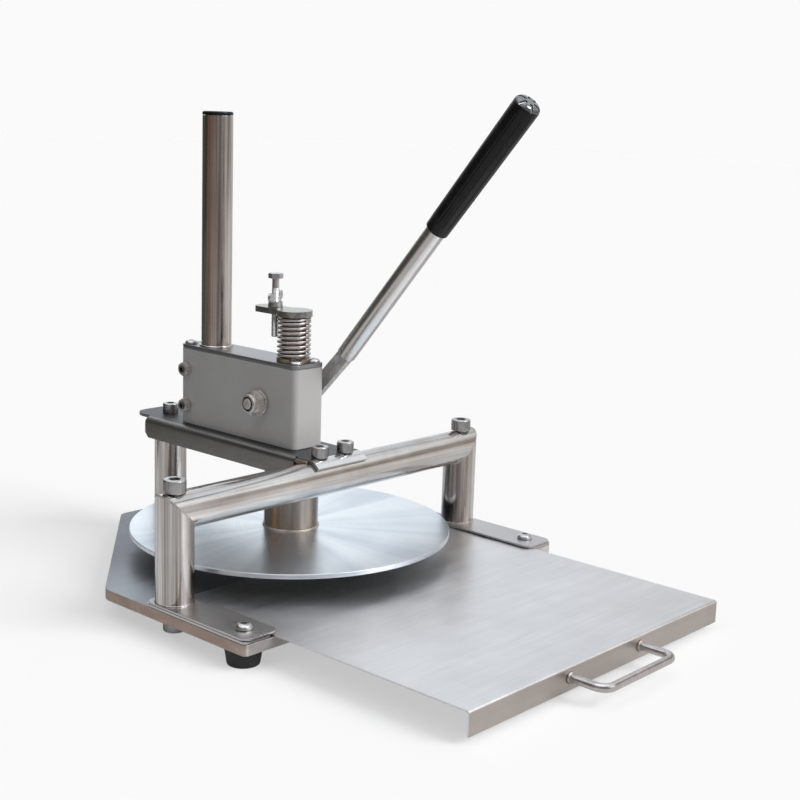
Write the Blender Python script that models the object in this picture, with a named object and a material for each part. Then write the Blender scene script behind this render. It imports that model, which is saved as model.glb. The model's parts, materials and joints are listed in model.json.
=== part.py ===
"""Manual pizza dough press with a pull lever and a sliding tray.

A round pressing disc hangs on a vertical ram under a portal of bent tube. A lever beside the
head turns a rocker on the axle, and the rocker's finger, in a notch of the ram, drives the ram
down against a return spring. The dough lies on a sheet tray that slides under two guide strips.

Metres, +Z up, -Y to the front. The origin is on the ram's axis, where it meets the table.
"""

import math

import bmesh
import bpy
from mathutils import Matrix, Vector

MM = 0.001

# Clearances and modelling constants
SEAT_GAP = 0.3 * MM  # between faces that rest on each other or are welded together
RUN_GAP = 0.3 * MM  # around shafts, screws and pins
OVERRUN = 2 * MM  # how far a cutter passes the face that it opens
WELD = 0.001 * MM  # points closer than this are one
FINE_STEPS = 96  # facets round the disc
ROUND_STEPS = 32  # facets round tubes and shafts
HOLE_STEPS = 24  # facets round bores
SCREW_STEPS = 12  # facets round fasteners
CORNER_STEPS = 4  # facets in a rounded corner

# Pressing disc and ram
DISC_DIAMETER = 250 * MM
DISC_THICKNESS = 3.5 * MM
PRESS_OPENING = 14.5 * MM  # tray to disc with the lever up
LEAST_OPENING = 1.0 * MM  # tray to disc with the lever down
HUB_RADIUS = 21.2 * MM
HUB_FLOOR = 6 * MM
HUB_EDGE = 1.2 * MM
RAM_RADIUS = 9.5 * MM
RAM_EDGE = 0.8 * MM

# Base plate, a six-sided plate whose rear corners are cut off
BASE_THICKNESS = 8 * MM
BASE_REAR_WIDTH = 84 * MM
BASE_FRONT_MARGIN = 8.5 * MM  # disc to the front edge
BASE_SHOULDER = 16.5 * MM  # ram axis to where the sides turn inwards
BASE_CORNER = 4 * MM

# Rubber feet
FOOT_HEIGHT = 12 * MM
FOOT_TOP_RADIUS = 13 * MM
FOOT_BOTTOM_RADIUS = 11 * MM
FOOT_EDGE = 1 * MM
FOOT_RECESS_PLAY = 1 * MM  # round the screw's head or nut
FOOT_RECESS_LIP = 1.7 * MM  # nut to the table
FRONT_FOOT_SETBACK = 17 * MM  # front edge to the front feet and the guide screws
REAR_FOOT_SPREAD = 45 * MM  # centre line to each rear foot
REAR_FOOT_SETBACK = 38.3 * MM

# Tray, and the strips that it slides under
TRAY_THICKNESS = 1.2 * MM
TRAY_MARGIN = 15 * MM  # how far the tray is wider than the disc, on each side
TRAY_EXTRA_DEPTH = 12 * MM  # how far the tray is deeper than the disc
TRAY_FLANGE = 16.5 * MM
TRAY_BEND = 1.8 * MM
TRAY_CORNER = 8 * MM
TRAY_TRAVEL = 165 * MM
TRAY_SIDE_GAP = 0.5 * MM
TRAY_TOP_PLAY = 0.4 * MM
GUIDE_THICKNESS = 1.5 * MM
GUIDE_OVERLAP = 5.5 * MM  # how far a strip covers the tray
GUIDE_REAR_MARGIN = 1.6 * MM  # front post to the strip's rear end
GUIDE_CORNER = 7 * MM
SPACER_WIDTH = 24.5 * MM
HANDLE_SPREAD = 80 * MM
HANDLE_REACH = 27 * MM
HANDLE_ROD_RADIUS = 3 * MM
HANDLE_BEND = 8 * MM
HANDLE_DROP = 7.8 * MM  # tray top to the rod's centre line

# Portal and bridge
TUBE_RADIUS = 13.5 * MM
PORTAL_HEIGHT = 81.4 * MM  # base plate to the crossbar's top
POST_MARGIN = 0.5 * MM  # front post to the base plate's side
PORTAL_SETBACK = 44.6 * MM  # ram axis forward to the front posts
REAR_POST_CLEARANCE = 11.8 * MM  # disc to the rear post
BRIDGE_THICKNESS = 2.5 * MM
BRIDGE_PLAY = 3.8 * MM  # hub to the channel's sides
BRIDGE_DEPTH = 17 * MM  # channel's full height
BRIDGE_BEND = 5 * MM
BRIDGE_REAR_INSET = 0.8 * MM  # rear post's axis forward to the end of the channel's sides
BRIDGE_CHAMFER = 4 * MM
FRONT_TONGUE_WIDTH = 52 * MM
REAR_TONGUE_WIDTH = 41 * MM
REAR_TONGUE_OVERHANG = 24.2 * MM  # rear post's axis back to the tongue's end
REAR_TONGUE_CORNER = 12 * MM
BRIDGE_SCREW_SPREAD = 13.5 * MM
TONGUE_NECK = 2.5 * MM  # length over which the channel passes into a tongue
LIP_ANGLE = math.radians(47)
LIP_STEPS = 6

# Head housing and cover
HOUSING_WIDTH = 31.4 * MM
HOUSING_FRONT = 18.5 * MM
HOUSING_HEIGHT = 61.7 * MM
HOUSING_WALL = 2.5 * MM
HOUSING_CORNER = 5 * MM
COVER_THICKNESS = 3 * MM
COVER_SCREW_SIDE_INSET = 6.5 * MM
COVER_SCREW_INSET = 6.2 * MM  # from the cover's front and rear ends

# Guides of the ram inside the head
BUSH_FLANGE_HEIGHT = 2.9 * MM
BUSH_WALL = 1.6 * MM
BUSH_LENGTH = 11 * MM
GUIDE_BLOCK_HEIGHT = 13 * MM
GUIDE_BLOCK_PLAY = 1.5 * MM  # block to the housing's front wall

# Brace pole and its clamp block
POLE_RADIUS = 12.2 * MM
POLE_WALL = 2 * MM
POLE_SETBACK = 91.2 * MM
POLE_RISE = 186.5 * MM  # cover to the top of the pole's cap
POLE_WELD = 1.6 * MM
POLE_CAP_THICKNESS = 3 * MM
POLE_CAP_PLUG = 10 * MM
POLE_INSET = 26.4 * MM  # pole's axis to the housing's rear
BLOCK_REACH = 16.7 * MM  # pole's axis to the block's front
BLOCK_TOP_GAP = 3 * MM
SPIGOT_HEIGHT = 24 * MM
CLAMP_SCREW_INSET = 8.6 * MM  # from the housing's rear
CLAMP_SCREW_RISE = 15.2 * MM  # from the housing's floor to the lower screw
CLAMP_SCREW_DROP = 16.5 * MM  # from the housing's top to the upper screw
CLAMP_SCREW_GRIP = 14 * MM  # from the housing's side

# Axle, rocker and lever
AXLE_HEIGHT = 31.4 * MM  # above the housing's floor
AXLE_RADIUS = 5 * MM
SLEEVE_RADIUS = 9 * MM
ROCKER_TIP_OFFSET = 2 * MM  # ram axis back to the finger's tip when it is level
ROCKER_TIP_RADIUS = 4 * MM
ROCKER_THICKNESS = 10 * MM
ROCKER_EYE_RADIUS = 11.5 * MM
ROCKER_EYE_PLAY = 0.5 * MM  # ram to the rocker's eye
ROCKER_NECK_HALF = 2.5 * MM
ROCKER_NECK_LENGTH = 3.5 * MM  # tip's centre to the narrow end of the neck
NOTCH_PLAY = 0.9 * MM  # finger's tip to the notch's front wall
RAM_FLAT_DEPTH = 5.5 * MM  # ram axis to the milled flat behind the notch
RAM_FLAT_HALF_HEIGHT = 10 * MM
LEVER_GAP = 5.3 * MM  # housing to the lever bar
LEVER_BAR_THICKNESS = 6 * MM
LEVER_BAR_WIDTH = 12 * MM
LEVER_BAR_ANGLE = math.radians(45.3)
LEVER_BAR_LENGTH = 67 * MM  # eye to where the tube begins
LEVER_EYE_RADIUS = 16 * MM
LEVER_TONGUE_WIDTH = 8 * MM
LEVER_TONGUE_LENGTH = 14 * MM
LEVER_TUBE_ANGLE = math.radians(49.5)
LEVER_TUBE_RADIUS = 7.5 * MM
LEVER_TUBE_WALL = 1.5 * MM
LEVER_TUBE_CRIMP = 1 * MM
LEVER_LENGTH = 253 * MM  # tube's lower end to the grip's end
GRIP_LENGTH = 119 * MM
GRIP_START_RADIUS = 8.9 * MM
GRIP_END_RADIUS = 9.9 * MM
GRIP_CAP = 5 * MM
GRIP_ROUNDING = 3 * MM
GRIP_COLLAR = 2.5 * MM

# Cap plate, return spring and depth stop
CAP_THICKNESS = 4.5 * MM
CAP_HEIGHT = 35.2 * MM  # cover to the cap plate's underside
CAP_LIP = 0.8 * MM  # how far the plate reaches past the spring
CAP_REAR_RADIUS = 8.5 * MM
CAP_REAR_SETBACK = 32 * MM
SPRING_WIRE_RADIUS = 1.0 * MM
SPRING_PLAY = 1.7 * MM  # ram to the wire
SPRING_TURNS = 8
SPRING_POINTS = 10  # points per turn
STOP_SETBACK = 21.5 * MM
STOP_CLEARANCE = 16.4 * MM  # cover to the stop bolt's tip
STOP_LENGTH = 44.5 * MM
WING_NUT_TURN = math.radians(26)
WING_NUT_RADIUS = 6 * MM
WING_NUT_HEIGHT = 4 * MM
WING_CORNERS = ((4.6 * MM, 1.2 * MM), (13.5 * MM, 6 * MM), (13.5 * MM, 13 * MM), (7.5 * MM, 10.5 * MM))
WING_CORNER_RADII = (0.3 * MM, 2 * MM, 3 * MM, 1.5 * MM)
WING_THICKNESS = 2 * MM

# Fasteners: shank radius, head radius and head height
M10_SHANK = 5 * MM
M10_HEAD_RADIUS = 8 * MM
M10_HEAD_HEIGHT = 9 * MM
M10_SOCKET_HALF = 4 * MM
M8_SHANK = 4 * MM
M8_HEAD_RADIUS = 6.5 * MM
M8_HEAD_HEIGHT = 8 * MM
M8_SOCKET_HALF = 3 * MM
M6_SHANK = 3 * MM
M6_BUTTON_RADIUS = 6 * MM
M6_BUTTON_HEIGHT = 3.6 * MM
M6_SOCKET_HALF = 2 * MM
M6_HEX_HALF = 5 * MM
M6_HEX_HEIGHT = 5 * MM
M5_SHANK = 2.5 * MM
M5_BUTTON_RADIUS = 4.8 * MM
M5_BUTTON_HEIGHT = 2.6 * MM
M5_SOCKET_HALF = 1.5 * MM
M5_WASHER_RADIUS = 5 * MM
M5_WASHER_THICKNESS = 1 * MM
AXLE_HEX_HALF = 8.5 * MM
AXLE_HEAD_HEIGHT = 6.4 * MM
AXLE_NUT_HEIGHT = 6.5 * MM
AXLE_NUT_COLLAR = 3 * MM
AXLE_NUT_COLLAR_RADIUS = 7.6 * MM
AXLE_WASHER_RADIUS = 10.7 * MM
AXLE_WASHER_THICKNESS = 2 * MM
AXLE_END = 2.5 * MM  # thread that shows past the nut
SCREW_EDGE = 0.6 * MM  # bevel on screw heads
POST_BOLT_GRIP = 22 * MM  # thread inside a post
CORNER_SCREW_GRIP = 24 * MM
BRIDGE_SCREW_GRIP = 12 * MM
PLATE_SCREW_GRIP = 6 * MM

# Plan: what follows from the disc's size and the margins round it
DISC_RADIUS = DISC_DIAMETER / 2
TRAY_WIDTH = DISC_DIAMETER + 2 * TRAY_MARGIN
TRAY_DEPTH = DISC_DIAMETER + TRAY_EXTRA_DEPTH
GUIDE_EDGE = TRAY_WIDTH / 2 + TRAY_SIDE_GAP + SPACER_WIDTH
BASE_WIDTH = 2 * GUIDE_EDGE
BASE_FRONT = DISC_RADIUS + BASE_FRONT_MARGIN
PORTAL_SPREAD = GUIDE_EDGE - POST_MARGIN - TUBE_RADIUS
REAR_POST_SETBACK = DISC_RADIUS + REAR_POST_CLEARANCE + TUBE_RADIUS
BASE_REAR = REAR_POST_SETBACK + TUBE_RADIUS
GUIDE_REAR = TUBE_RADIUS + GUIDE_REAR_MARGIN - PORTAL_SETBACK
FRONT_FOOT_Y = FRONT_FOOT_SETBACK - BASE_FRONT
REAR_FOOT_Y = BASE_REAR - REAR_FOOT_SETBACK
TRAY_FRONT = -(BASE_FRONT + TRAY_TRAVEL + TRAY_THICKNESS + SEAT_GAP)
BRIDGE_WIDTH = 2 * (HUB_RADIUS + BRIDGE_PLAY + BRIDGE_THICKNESS)
BRIDGE_REAR = REAR_POST_SETBACK - BRIDGE_REAR_INSET
REAR_TONGUE_END = REAR_POST_SETBACK + REAR_TONGUE_OVERHANG
HOUSING_HALF = HOUSING_WIDTH / 2
HOUSING_REAR = POLE_SETBACK + POLE_INSET
INNER_HALF = HOUSING_HALF - HOUSING_WALL
INNER_CORNER = HOUSING_CORNER - HOUSING_WALL
GUIDE_BLOCK_REACH = HOUSING_FRONT - HOUSING_WALL - GUIDE_BLOCK_PLAY
COVER_SCREW_SPREAD = HOUSING_HALF - COVER_SCREW_SIDE_INSET
BLOCK_FRONT = POLE_SETBACK - BLOCK_REACH
CLAMP_SCREW_SETBACK = HOUSING_REAR - CLAMP_SCREW_INSET
SPRING_RADIUS = RAM_RADIUS + SPRING_PLAY + SPRING_WIRE_RADIUS
BUSH_FLANGE_RADIUS = SPRING_RADIUS + SPRING_WIRE_RADIUS
BUSH_RADIUS = RAM_RADIUS + RUN_GAP + BUSH_WALL
CAP_FRONT_RADIUS = SPRING_RADIUS + SPRING_WIRE_RADIUS + CAP_LIP
AXLE_SETBACK = RAM_RADIUS + ROCKER_EYE_PLAY + ROCKER_EYE_RADIUS
ROCKER_REACH = AXLE_SETBACK - ROCKER_TIP_OFFSET
NOTCH_DEPTH = ROCKER_TIP_RADIUS - ROCKER_TIP_OFFSET + NOTCH_PLAY
LEVER_PLANE = HOUSING_HALF + LEVER_GAP + LEVER_BAR_THICKNESS / 2
FOOT_RECESS_RADIUS = M6_BUTTON_RADIUS + FOOT_RECESS_PLAY
FOOT_RECESS_DEPTH = FOOT_RECESS_LIP + M6_HEX_HEIGHT + SEAT_GAP

# Levels, from the table up
BASE_BOTTOM = FOOT_HEIGHT + SEAT_GAP
BASE_TOP = BASE_BOTTOM + BASE_THICKNESS
SPACER_BOTTOM = BASE_TOP + SEAT_GAP
SPACER_THICKNESS = TRAY_THICKNESS + TRAY_TOP_PLAY
GUIDE_BOTTOM = SPACER_BOTTOM + SPACER_THICKNESS + SEAT_GAP
GUIDE_TOP = GUIDE_BOTTOM + GUIDE_THICKNESS
TRAY_TOP = BASE_TOP + SEAT_GAP + TRAY_THICKNESS
DISC_BOTTOM = TRAY_TOP + PRESS_OPENING
HUB_BOTTOM = DISC_BOTTOM + DISC_THICKNESS + SEAT_GAP
PORTAL_TOP = BASE_TOP + PORTAL_HEIGHT
CROSSBAR_LEVEL = PORTAL_TOP - TUBE_RADIUS
BRIDGE_BOTTOM = PORTAL_TOP + SEAT_GAP
BRIDGE_TOP = BRIDGE_BOTTOM + BRIDGE_THICKNESS
HOUSING_FLOOR = BRIDGE_TOP + SEAT_GAP
HOUSING_TOP = HOUSING_FLOOR + HOUSING_HEIGHT
COVER_BOTTOM = HOUSING_TOP + SEAT_GAP
COVER_TOP = COVER_BOTTOM + COVER_THICKNESS
CAP_BOTTOM = COVER_TOP + CAP_HEIGHT
CAP_TOP = CAP_BOTTOM + CAP_THICKNESS
AXLE_LEVEL = HOUSING_FLOOR + AXLE_HEIGHT
CLAMP_SCREW_LEVELS = (HOUSING_FLOOR + CLAMP_SCREW_RISE, HOUSING_TOP - CLAMP_SCREW_DROP)

# Motion: the rocker swings as far above its middle as below it
STROKE = PRESS_OPENING - LEAST_OPENING
ROCKER_REST_ANGLE = math.asin(STROKE / 2 / ROCKER_REACH)
TIP_LEVEL = AXLE_LEVEL + STROKE / 2

SIDES = (("left", -1), ("right", 1))

MATERIALS = {
    "brushed_steel": ((0.62, 0.62, 0.61), 0.30, 1.0),
    "polished_steel": ((0.68, 0.67, 0.65), 0.18, 1.0),
    "turned_steel": ((0.60, 0.59, 0.57), 0.26, 1.0),
    "zinc_steel": ((0.58, 0.58, 0.58), 0.35, 1.0),
    "spring_steel": ((0.48, 0.46, 0.44), 0.32, 1.0),
    "bronze": ((0.42, 0.30, 0.16), 0.38, 1.0),
    "grey_paint": ((0.36, 0.34, 0.32), 0.45, 0.0),
    "black_rubber": ((0.02, 0.02, 0.02), 0.75, 0.0),
    "black_plastic": ((0.015, 0.015, 0.016), 0.32, 0.0),
}


def clear_scene():
    for item in list(bpy.data.objects):
        bpy.data.objects.remove(item, do_unlink=True)


def material_named(name):
    material = bpy.data.materials.get(name)
    if material is None:
        colour, roughness, metallic = MATERIALS[name]
        material = bpy.data.materials.new(name)
        material.use_nodes = True
        shader = material.node_tree.nodes["Principled BSDF"]
        shader.inputs["Base Color"].default_value = (*colour, 1.0)
        shader.inputs["Roughness"].default_value = roughness
        shader.inputs["Metallic"].default_value = metallic
    return material


def new_object(name, bm, material, place=(0, 0, 0), turn=(0, 0, 0), parent=None):
    """An object from a mesh under construction, placed in world space under its parent empty."""
    bmesh.ops.remove_doubles(bm, verts=bm.verts, dist=WELD)
    bmesh.ops.recalc_face_normals(bm, faces=bm.faces)
    mesh = bpy.data.meshes.new(name)
    bm.to_mesh(mesh)
    bm.free()
    mesh.shade_smooth()
    mesh.set_sharp_from_angle(angle=math.radians(30))
    piece = bpy.data.objects.new(name, mesh)
    bpy.context.collection.objects.link(piece)
    if material:
        mesh.materials.append(material_named(material))
    return settle(piece, place, turn, parent)


def settle(piece, place, turn, parent):
    piece.rotation_euler = turn
    piece.location = place
    if parent:
        piece.parent = parent
        piece.location = Vector(place) - parent.location
    return piece


def copy_of(piece, name, place):
    """Another piece of the same shape, which shares the mesh."""
    twin = bpy.data.objects.new(name, piece.data)
    bpy.context.collection.objects.link(twin)
    return settle(twin, place, piece.rotation_euler, piece.parent)


def joint_empty(name, place):
    empty = bpy.data.objects.new(name, None)
    empty.location = place
    empty.empty_display_size = HUB_RADIUS
    bpy.context.collection.objects.link(empty)
    return empty


def boolean(piece, other, operation):
    other.hide_render = True
    other.display_type = "WIRE"
    modifier = piece.modifiers.new(f"{operation.lower()}_{other.name}", "BOOLEAN")
    modifier.operation = operation
    modifier.solver = "EXACT"
    modifier.object = other


def hexagon(half, angle):
    """Radius at an angle of a hexagon that measures half across its flats."""
    sector = math.radians(60)
    return half / math.cos((angle + sector / 2) % sector - sector / 2)


def ring(bm, radius, height, steps, half=None):
    """A loop of points; with half it is a hexagon, trimmed to the radius where it sticks out."""
    points = []
    for step in range(steps):
        angle = math.tau * step / steps
        reach = radius if half is None else min(radius, hexagon(half, angle + math.radians(30)))
        points.append(bm.verts.new((reach * math.cos(angle), reach * math.sin(angle), height)))
    return points


def skin(bm, first, second):
    count = len(first)
    for index in range(count):
        following = (index + 1) % count
        bm.faces.new((first[index], first[following], second[following], second[index]))


def turned(rings, steps, bored=False):
    """A turned body from rings of (radius, height) or (radius, height, hexagon half), bottom first."""
    bm = bmesh.new()
    loops = [ring(bm, *spec[:2], steps, *spec[2:]) for spec in rings]
    for first, second in zip(loops, loops[1:]):
        skin(bm, first, second)
    if bored:
        skin(bm, loops[-1], loops[0])
    else:
        bm.faces.new(list(reversed(loops[0])))
        bm.faces.new(loops[-1])
    return bm


def tube(outer, inner, bottom, top, steps=ROUND_STEPS):
    return turned([(outer, bottom), (outer, top), (inner, top), (inner, bottom)], steps, bored=True)


def rounded_outline(corners, radius):
    """A polygon in plan whose corners are arcs of one radius, or of a radius each."""
    points = []
    radii = radius if isinstance(radius, (list, tuple)) else [radius] * len(corners)
    for index, corner in enumerate(corners):
        corner = Vector(corner)
        before = (Vector(corners[index - 1]) - corner).normalized()
        after = (Vector(corners[(index + 1) % len(corners)]) - corner).normalized()
        half_angle = before.angle(after) / 2
        middle = corner + (before + after).normalized() * (radii[index] / math.sin(half_angle))
        start = corner + before * (radii[index] / math.tan(half_angle)) - middle
        sweep = start.angle_signed(corner + after * (radii[index] / math.tan(half_angle)) - middle)
        for step in range(CORNER_STEPS + 1):
            turn = Matrix.Rotation(-sweep * step / CORNER_STEPS, 2)
            points.append(middle + turn @ start)
    return points


def rectangle(left, right, front, rear):
    return [(left, front), (right, front), (right, rear), (left, rear)]


def arc(centre, radius, start, end, steps):
    points = []
    for step in range(steps + 1):
        angle = start + (end - start) * step / steps
        points.append(Vector(centre) + radius * Vector((math.cos(angle), math.sin(angle))))
    return points


def slab(outline, bottom, thickness):
    """A plate: its outline in plan, extruded upwards."""
    bm = bmesh.new()
    face = bm.faces.new([bm.verts.new((x, y, bottom)) for x, y in outline])
    lifted = bmesh.ops.extrude_face_region(bm, geom=[face])["geom"]
    corners = [item for item in lifted if isinstance(item, bmesh.types.BMVert)]
    bmesh.ops.translate(bm, verts=corners, vec=(0, 0, thickness))
    return bm


def cutter(name, bm, place=(0, 0, 0), turn=(0, 0, 0)):
    piece = new_object(name, bm, None, place, turn)
    piece.hide_render = True
    piece.display_type = "WIRE"
    return piece


def drill(piece, name, places, radius, bottom, top, steps=HOLE_STEPS):
    """Upright holes at places in plan, all of one radius."""
    bm = bmesh.new()
    for x, y in places:
        bmesh.ops.create_cone(
            bm,
            cap_ends=True,
            segments=steps,
            radius1=radius,
            radius2=radius,
            depth=top - bottom,
            matrix=Matrix.Translation((x, y, (top + bottom) / 2)),
        )
    boolean(piece, cutter(f"{name}_cutter", bm), "DIFFERENCE")


def cross_drill(piece, name, places, radius, left, right):
    """Holes along X at places given as (y, z), all of one radius."""
    bm = bmesh.new()
    for y, z in places:
        upright = Matrix.Translation(((left + right) / 2, y, z)) @ Matrix.Rotation(math.radians(90), 4, "Y")
        bmesh.ops.create_cone(
            bm,
            cap_ends=True,
            segments=HOLE_STEPS,
            radius1=radius,
            radius2=radius,
            depth=right - left,
            matrix=upright,
        )
    boolean(piece, cutter(f"{name}_cutter", bm), "DIFFERENCE")


def box_cut(piece, name, low, high):
    low, high = Vector(low), Vector(high)
    bm = bmesh.new()
    bmesh.ops.create_cube(bm, size=1)
    bmesh.ops.scale(bm, verts=bm.verts, vec=high - low)
    bmesh.ops.translate(bm, verts=bm.verts, vec=(low + high) / 2)
    boolean(piece, cutter(f"{name}_cutter", bm), "DIFFERENCE")


def sheet(rows):
    """A folded sheet from rows of points on its upper side; faces span neighbours that both exist."""
    bm = bmesh.new()
    grid = [[point and bm.verts.new(point) for point in row] for row in rows]
    for near, far in zip(grid, grid[1:]):
        for column in range(len(near) - 1):
            corners = (near[column], near[column + 1], far[column + 1], far[column])
            if all(corners):
                bm.faces.new(corners)
    for face in bm.faces:
        face.normal_update()
    return bm


def solidify(piece, thickness, offset=-1.0):
    modifier = piece.modifiers.new("thickness", "SOLIDIFY")
    modifier.thickness = thickness
    modifier.offset = offset
    modifier.use_even_offset = True


def socket_screw(shank, grip, head_radius, head_height, socket_half):
    """A socket cap screw: its head stands on the origin and its shank hangs below."""
    return turned(
        [
            (shank - SCREW_EDGE, -grip),
            (shank, SCREW_EDGE - grip),
            (shank, 0),
            (head_radius, 0),
            (head_radius, head_height - SCREW_EDGE),
            (head_radius - SCREW_EDGE, head_height),
            (head_radius, head_height, socket_half),
            (head_radius, head_height / 2, socket_half),
        ],
        SCREW_STEPS,
    )


def button_screw(shank, grip, head_radius, head_height, socket_half):
    """A button-head screw: the head is a low dome, flat round its socket."""
    crest = socket_half + SCREW_EDGE
    rings = [(shank - SCREW_EDGE, -grip), (shank, SCREW_EDGE - grip), (shank, 0)]
    for step in range(CORNER_STEPS + 1):
        angle = math.radians(90) * step / CORNER_STEPS
        radius = crest + (head_radius - crest) * math.cos(angle)
        rings.append((radius, head_height * math.sin(angle)))
    rings.append((crest, head_height, socket_half))
    rings.append((crest, head_height / 2, socket_half))
    return turned(rings, SCREW_STEPS)


def hex_head(half, height):
    """Rings of a hexagonal head with its corners bevelled to a circle."""
    corner = hexagon(half, math.radians(30))
    return [
        (corner, 0, half),
        (corner, height - SCREW_EDGE, half),
        (corner - SCREW_EDGE, height, half),
    ]


def base_plate():
    half, rear_half = BASE_WIDTH / 2, BASE_REAR_WIDTH / 2
    corners = [
        (-half, -BASE_FRONT),
        (half, -BASE_FRONT),
        (half, BASE_SHOULDER),
        (rear_half, BASE_REAR),
        (-rear_half, BASE_REAR),
        (-half, BASE_SHOULDER),
    ]
    bm = slab(rounded_outline(corners, BASE_CORNER), BASE_BOTTOM, BASE_THICKNESS)
    plate = new_object("base_plate", bm, "brushed_steel")
    posts = [(side * PORTAL_SPREAD, -PORTAL_SETBACK) for _, side in SIDES]
    posts.append((0, REAR_POST_SETBACK))
    low, high = BASE_BOTTOM - OVERRUN, BASE_TOP + OVERRUN
    drill(plate, "base_post_holes", posts, M10_SHANK + RUN_GAP, low, high)
    guides = [(side * PORTAL_SPREAD, FRONT_FOOT_Y) for _, side in SIDES]
    drill(plate, "base_guide_holes", guides, M6_SHANK + RUN_GAP, low, high, SCREW_STEPS)
    feet = [(side * REAR_FOOT_SPREAD, REAR_FOOT_Y) for _, side in SIDES]
    depth = BASE_BOTTOM + PLATE_SCREW_GRIP
    drill(plate, "base_foot_holes", feet, M6_SHANK + RUN_GAP, low, depth, SCREW_STEPS)


def feet():
    bore = M6_SHANK + RUN_GAP
    rings = [
        (FOOT_BOTTOM_RADIUS - FOOT_EDGE, 0),
        (FOOT_BOTTOM_RADIUS, FOOT_EDGE),
        (FOOT_TOP_RADIUS, FOOT_HEIGHT),
        (bore, FOOT_HEIGHT),
        (bore, FOOT_RECESS_DEPTH),
        (FOOT_RECESS_RADIUS, FOOT_RECESS_DEPTH),
        (FOOT_RECESS_RADIUS, 0),
    ]
    places = []
    for name, side in SIDES:
        places.append((f"foot_front_{name}", (side * PORTAL_SPREAD, FRONT_FOOT_Y, 0)))
        places.append((f"foot_rear_{name}", (side * REAR_FOOT_SPREAD, REAR_FOOT_Y, 0)))
    first = None
    for name, place in places:
        if first is None:
            first = new_object(name, turned(rings, SCREW_STEPS * 2, bored=True), "black_rubber", place)
        else:
            copy_of(first, name, place)


def foot_fasteners():
    """Screws of the rear feet, and the nuts that the guide screws have in the front feet."""
    level = FOOT_RECESS_DEPTH - SEAT_GAP
    grip = FOOT_HEIGHT - level + SEAT_GAP + PLATE_SCREW_GRIP - RUN_GAP
    upside_down = (math.pi, 0, 0)
    for name, side in SIDES:
        bm = button_screw(M6_SHANK, grip, M6_BUTTON_RADIUS, M6_BUTTON_HEIGHT, M6_SOCKET_HALF)
        place = (side * REAR_FOOT_SPREAD, REAR_FOOT_Y, level)
        new_object(f"rear_foot_screw_{name}", bm, "zinc_steel", place, upside_down)
        bore = M6_SHANK + RUN_GAP
        rings = hex_head(M6_HEX_HALF, M6_HEX_HEIGHT)
        bm = turned(rings + [(bore, M6_HEX_HEIGHT), (bore, 0)], SCREW_STEPS, bored=True)
        place = (side * PORTAL_SPREAD, FRONT_FOOT_Y, level)
        new_object(f"front_foot_nut_{name}", bm, "zinc_steel", place, upside_down)


def tray_guides():
    """Spacer strips that make room for the tray, and the guide strips that cover its edges."""
    tray_edge = TRAY_WIDTH / 2
    low = SPACER_BOTTOM - OVERRUN
    high = GUIDE_TOP + OVERRUN
    for name, side in SIDES:
        post = [(side * PORTAL_SPREAD, -PORTAL_SETBACK)]
        screw = [(side * PORTAL_SPREAD, FRONT_FOOT_Y)]
        strips = (
            ("tray_spacer", tray_edge + TRAY_SIDE_GAP, SPACER_BOTTOM, SPACER_THICKNESS, BASE_CORNER),
            ("tray_guide", tray_edge - GUIDE_OVERLAP, GUIDE_BOTTOM, GUIDE_THICKNESS, GUIDE_CORNER),
        )
        for label, inner, bottom, thickness, corner in strips:
            left, right = sorted((side * inner, side * GUIDE_EDGE))
            outline = rounded_outline(rectangle(left, right, -BASE_FRONT, GUIDE_REAR), corner)
            piece = new_object(f"{label}_{name}", slab(outline, bottom, thickness), "brushed_steel")
            drill(piece, f"{label}_{name}_post", post, M10_SHANK + RUN_GAP, low, high)
            drill(piece, f"{label}_{name}_screw", screw, M6_SHANK + RUN_GAP, low, high, SCREW_STEPS)
        level = GUIDE_TOP + SEAT_GAP
        nut_end = FOOT_RECESS_DEPTH - SEAT_GAP - M6_HEX_HEIGHT
        bm = button_screw(M6_SHANK, level - nut_end, M6_BUTTON_RADIUS, M6_BUTTON_HEIGHT, M6_SOCKET_HALF)
        new_object(f"guide_screw_{name}", bm, "polished_steel", (*screw[0], level))


def mitre(bm, side, keep_above):
    """Cuts a tube's end on the plane through the portal's corner at 45 degrees."""
    corner = Vector((side * PORTAL_SPREAD, 0, CROSSBAR_LEVEL))
    normal = Vector((-side, 0, 1)).normalized()
    if not keep_above:
        normal = -normal
    geometry = bm.verts[:] + bm.edges[:] + bm.faces[:]
    place = corner + normal * SEAT_GAP / 2
    cut = bmesh.ops.bisect_plane(bm, geom=geometry, plane_co=place, plane_no=-normal, clear_outer=True)
    edges = [item for item in cut["geom_cut"] if isinstance(item, bmesh.types.BMEdge)]
    bmesh.ops.contextual_create(bm, geom=edges)


def round_bar(radius, length, matrix):
    bm = bmesh.new()
    bmesh.ops.create_cone(
        bm, cap_ends=True, segments=ROUND_STEPS, radius1=radius, radius2=radius, depth=length, matrix=matrix
    )
    return bm


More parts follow.
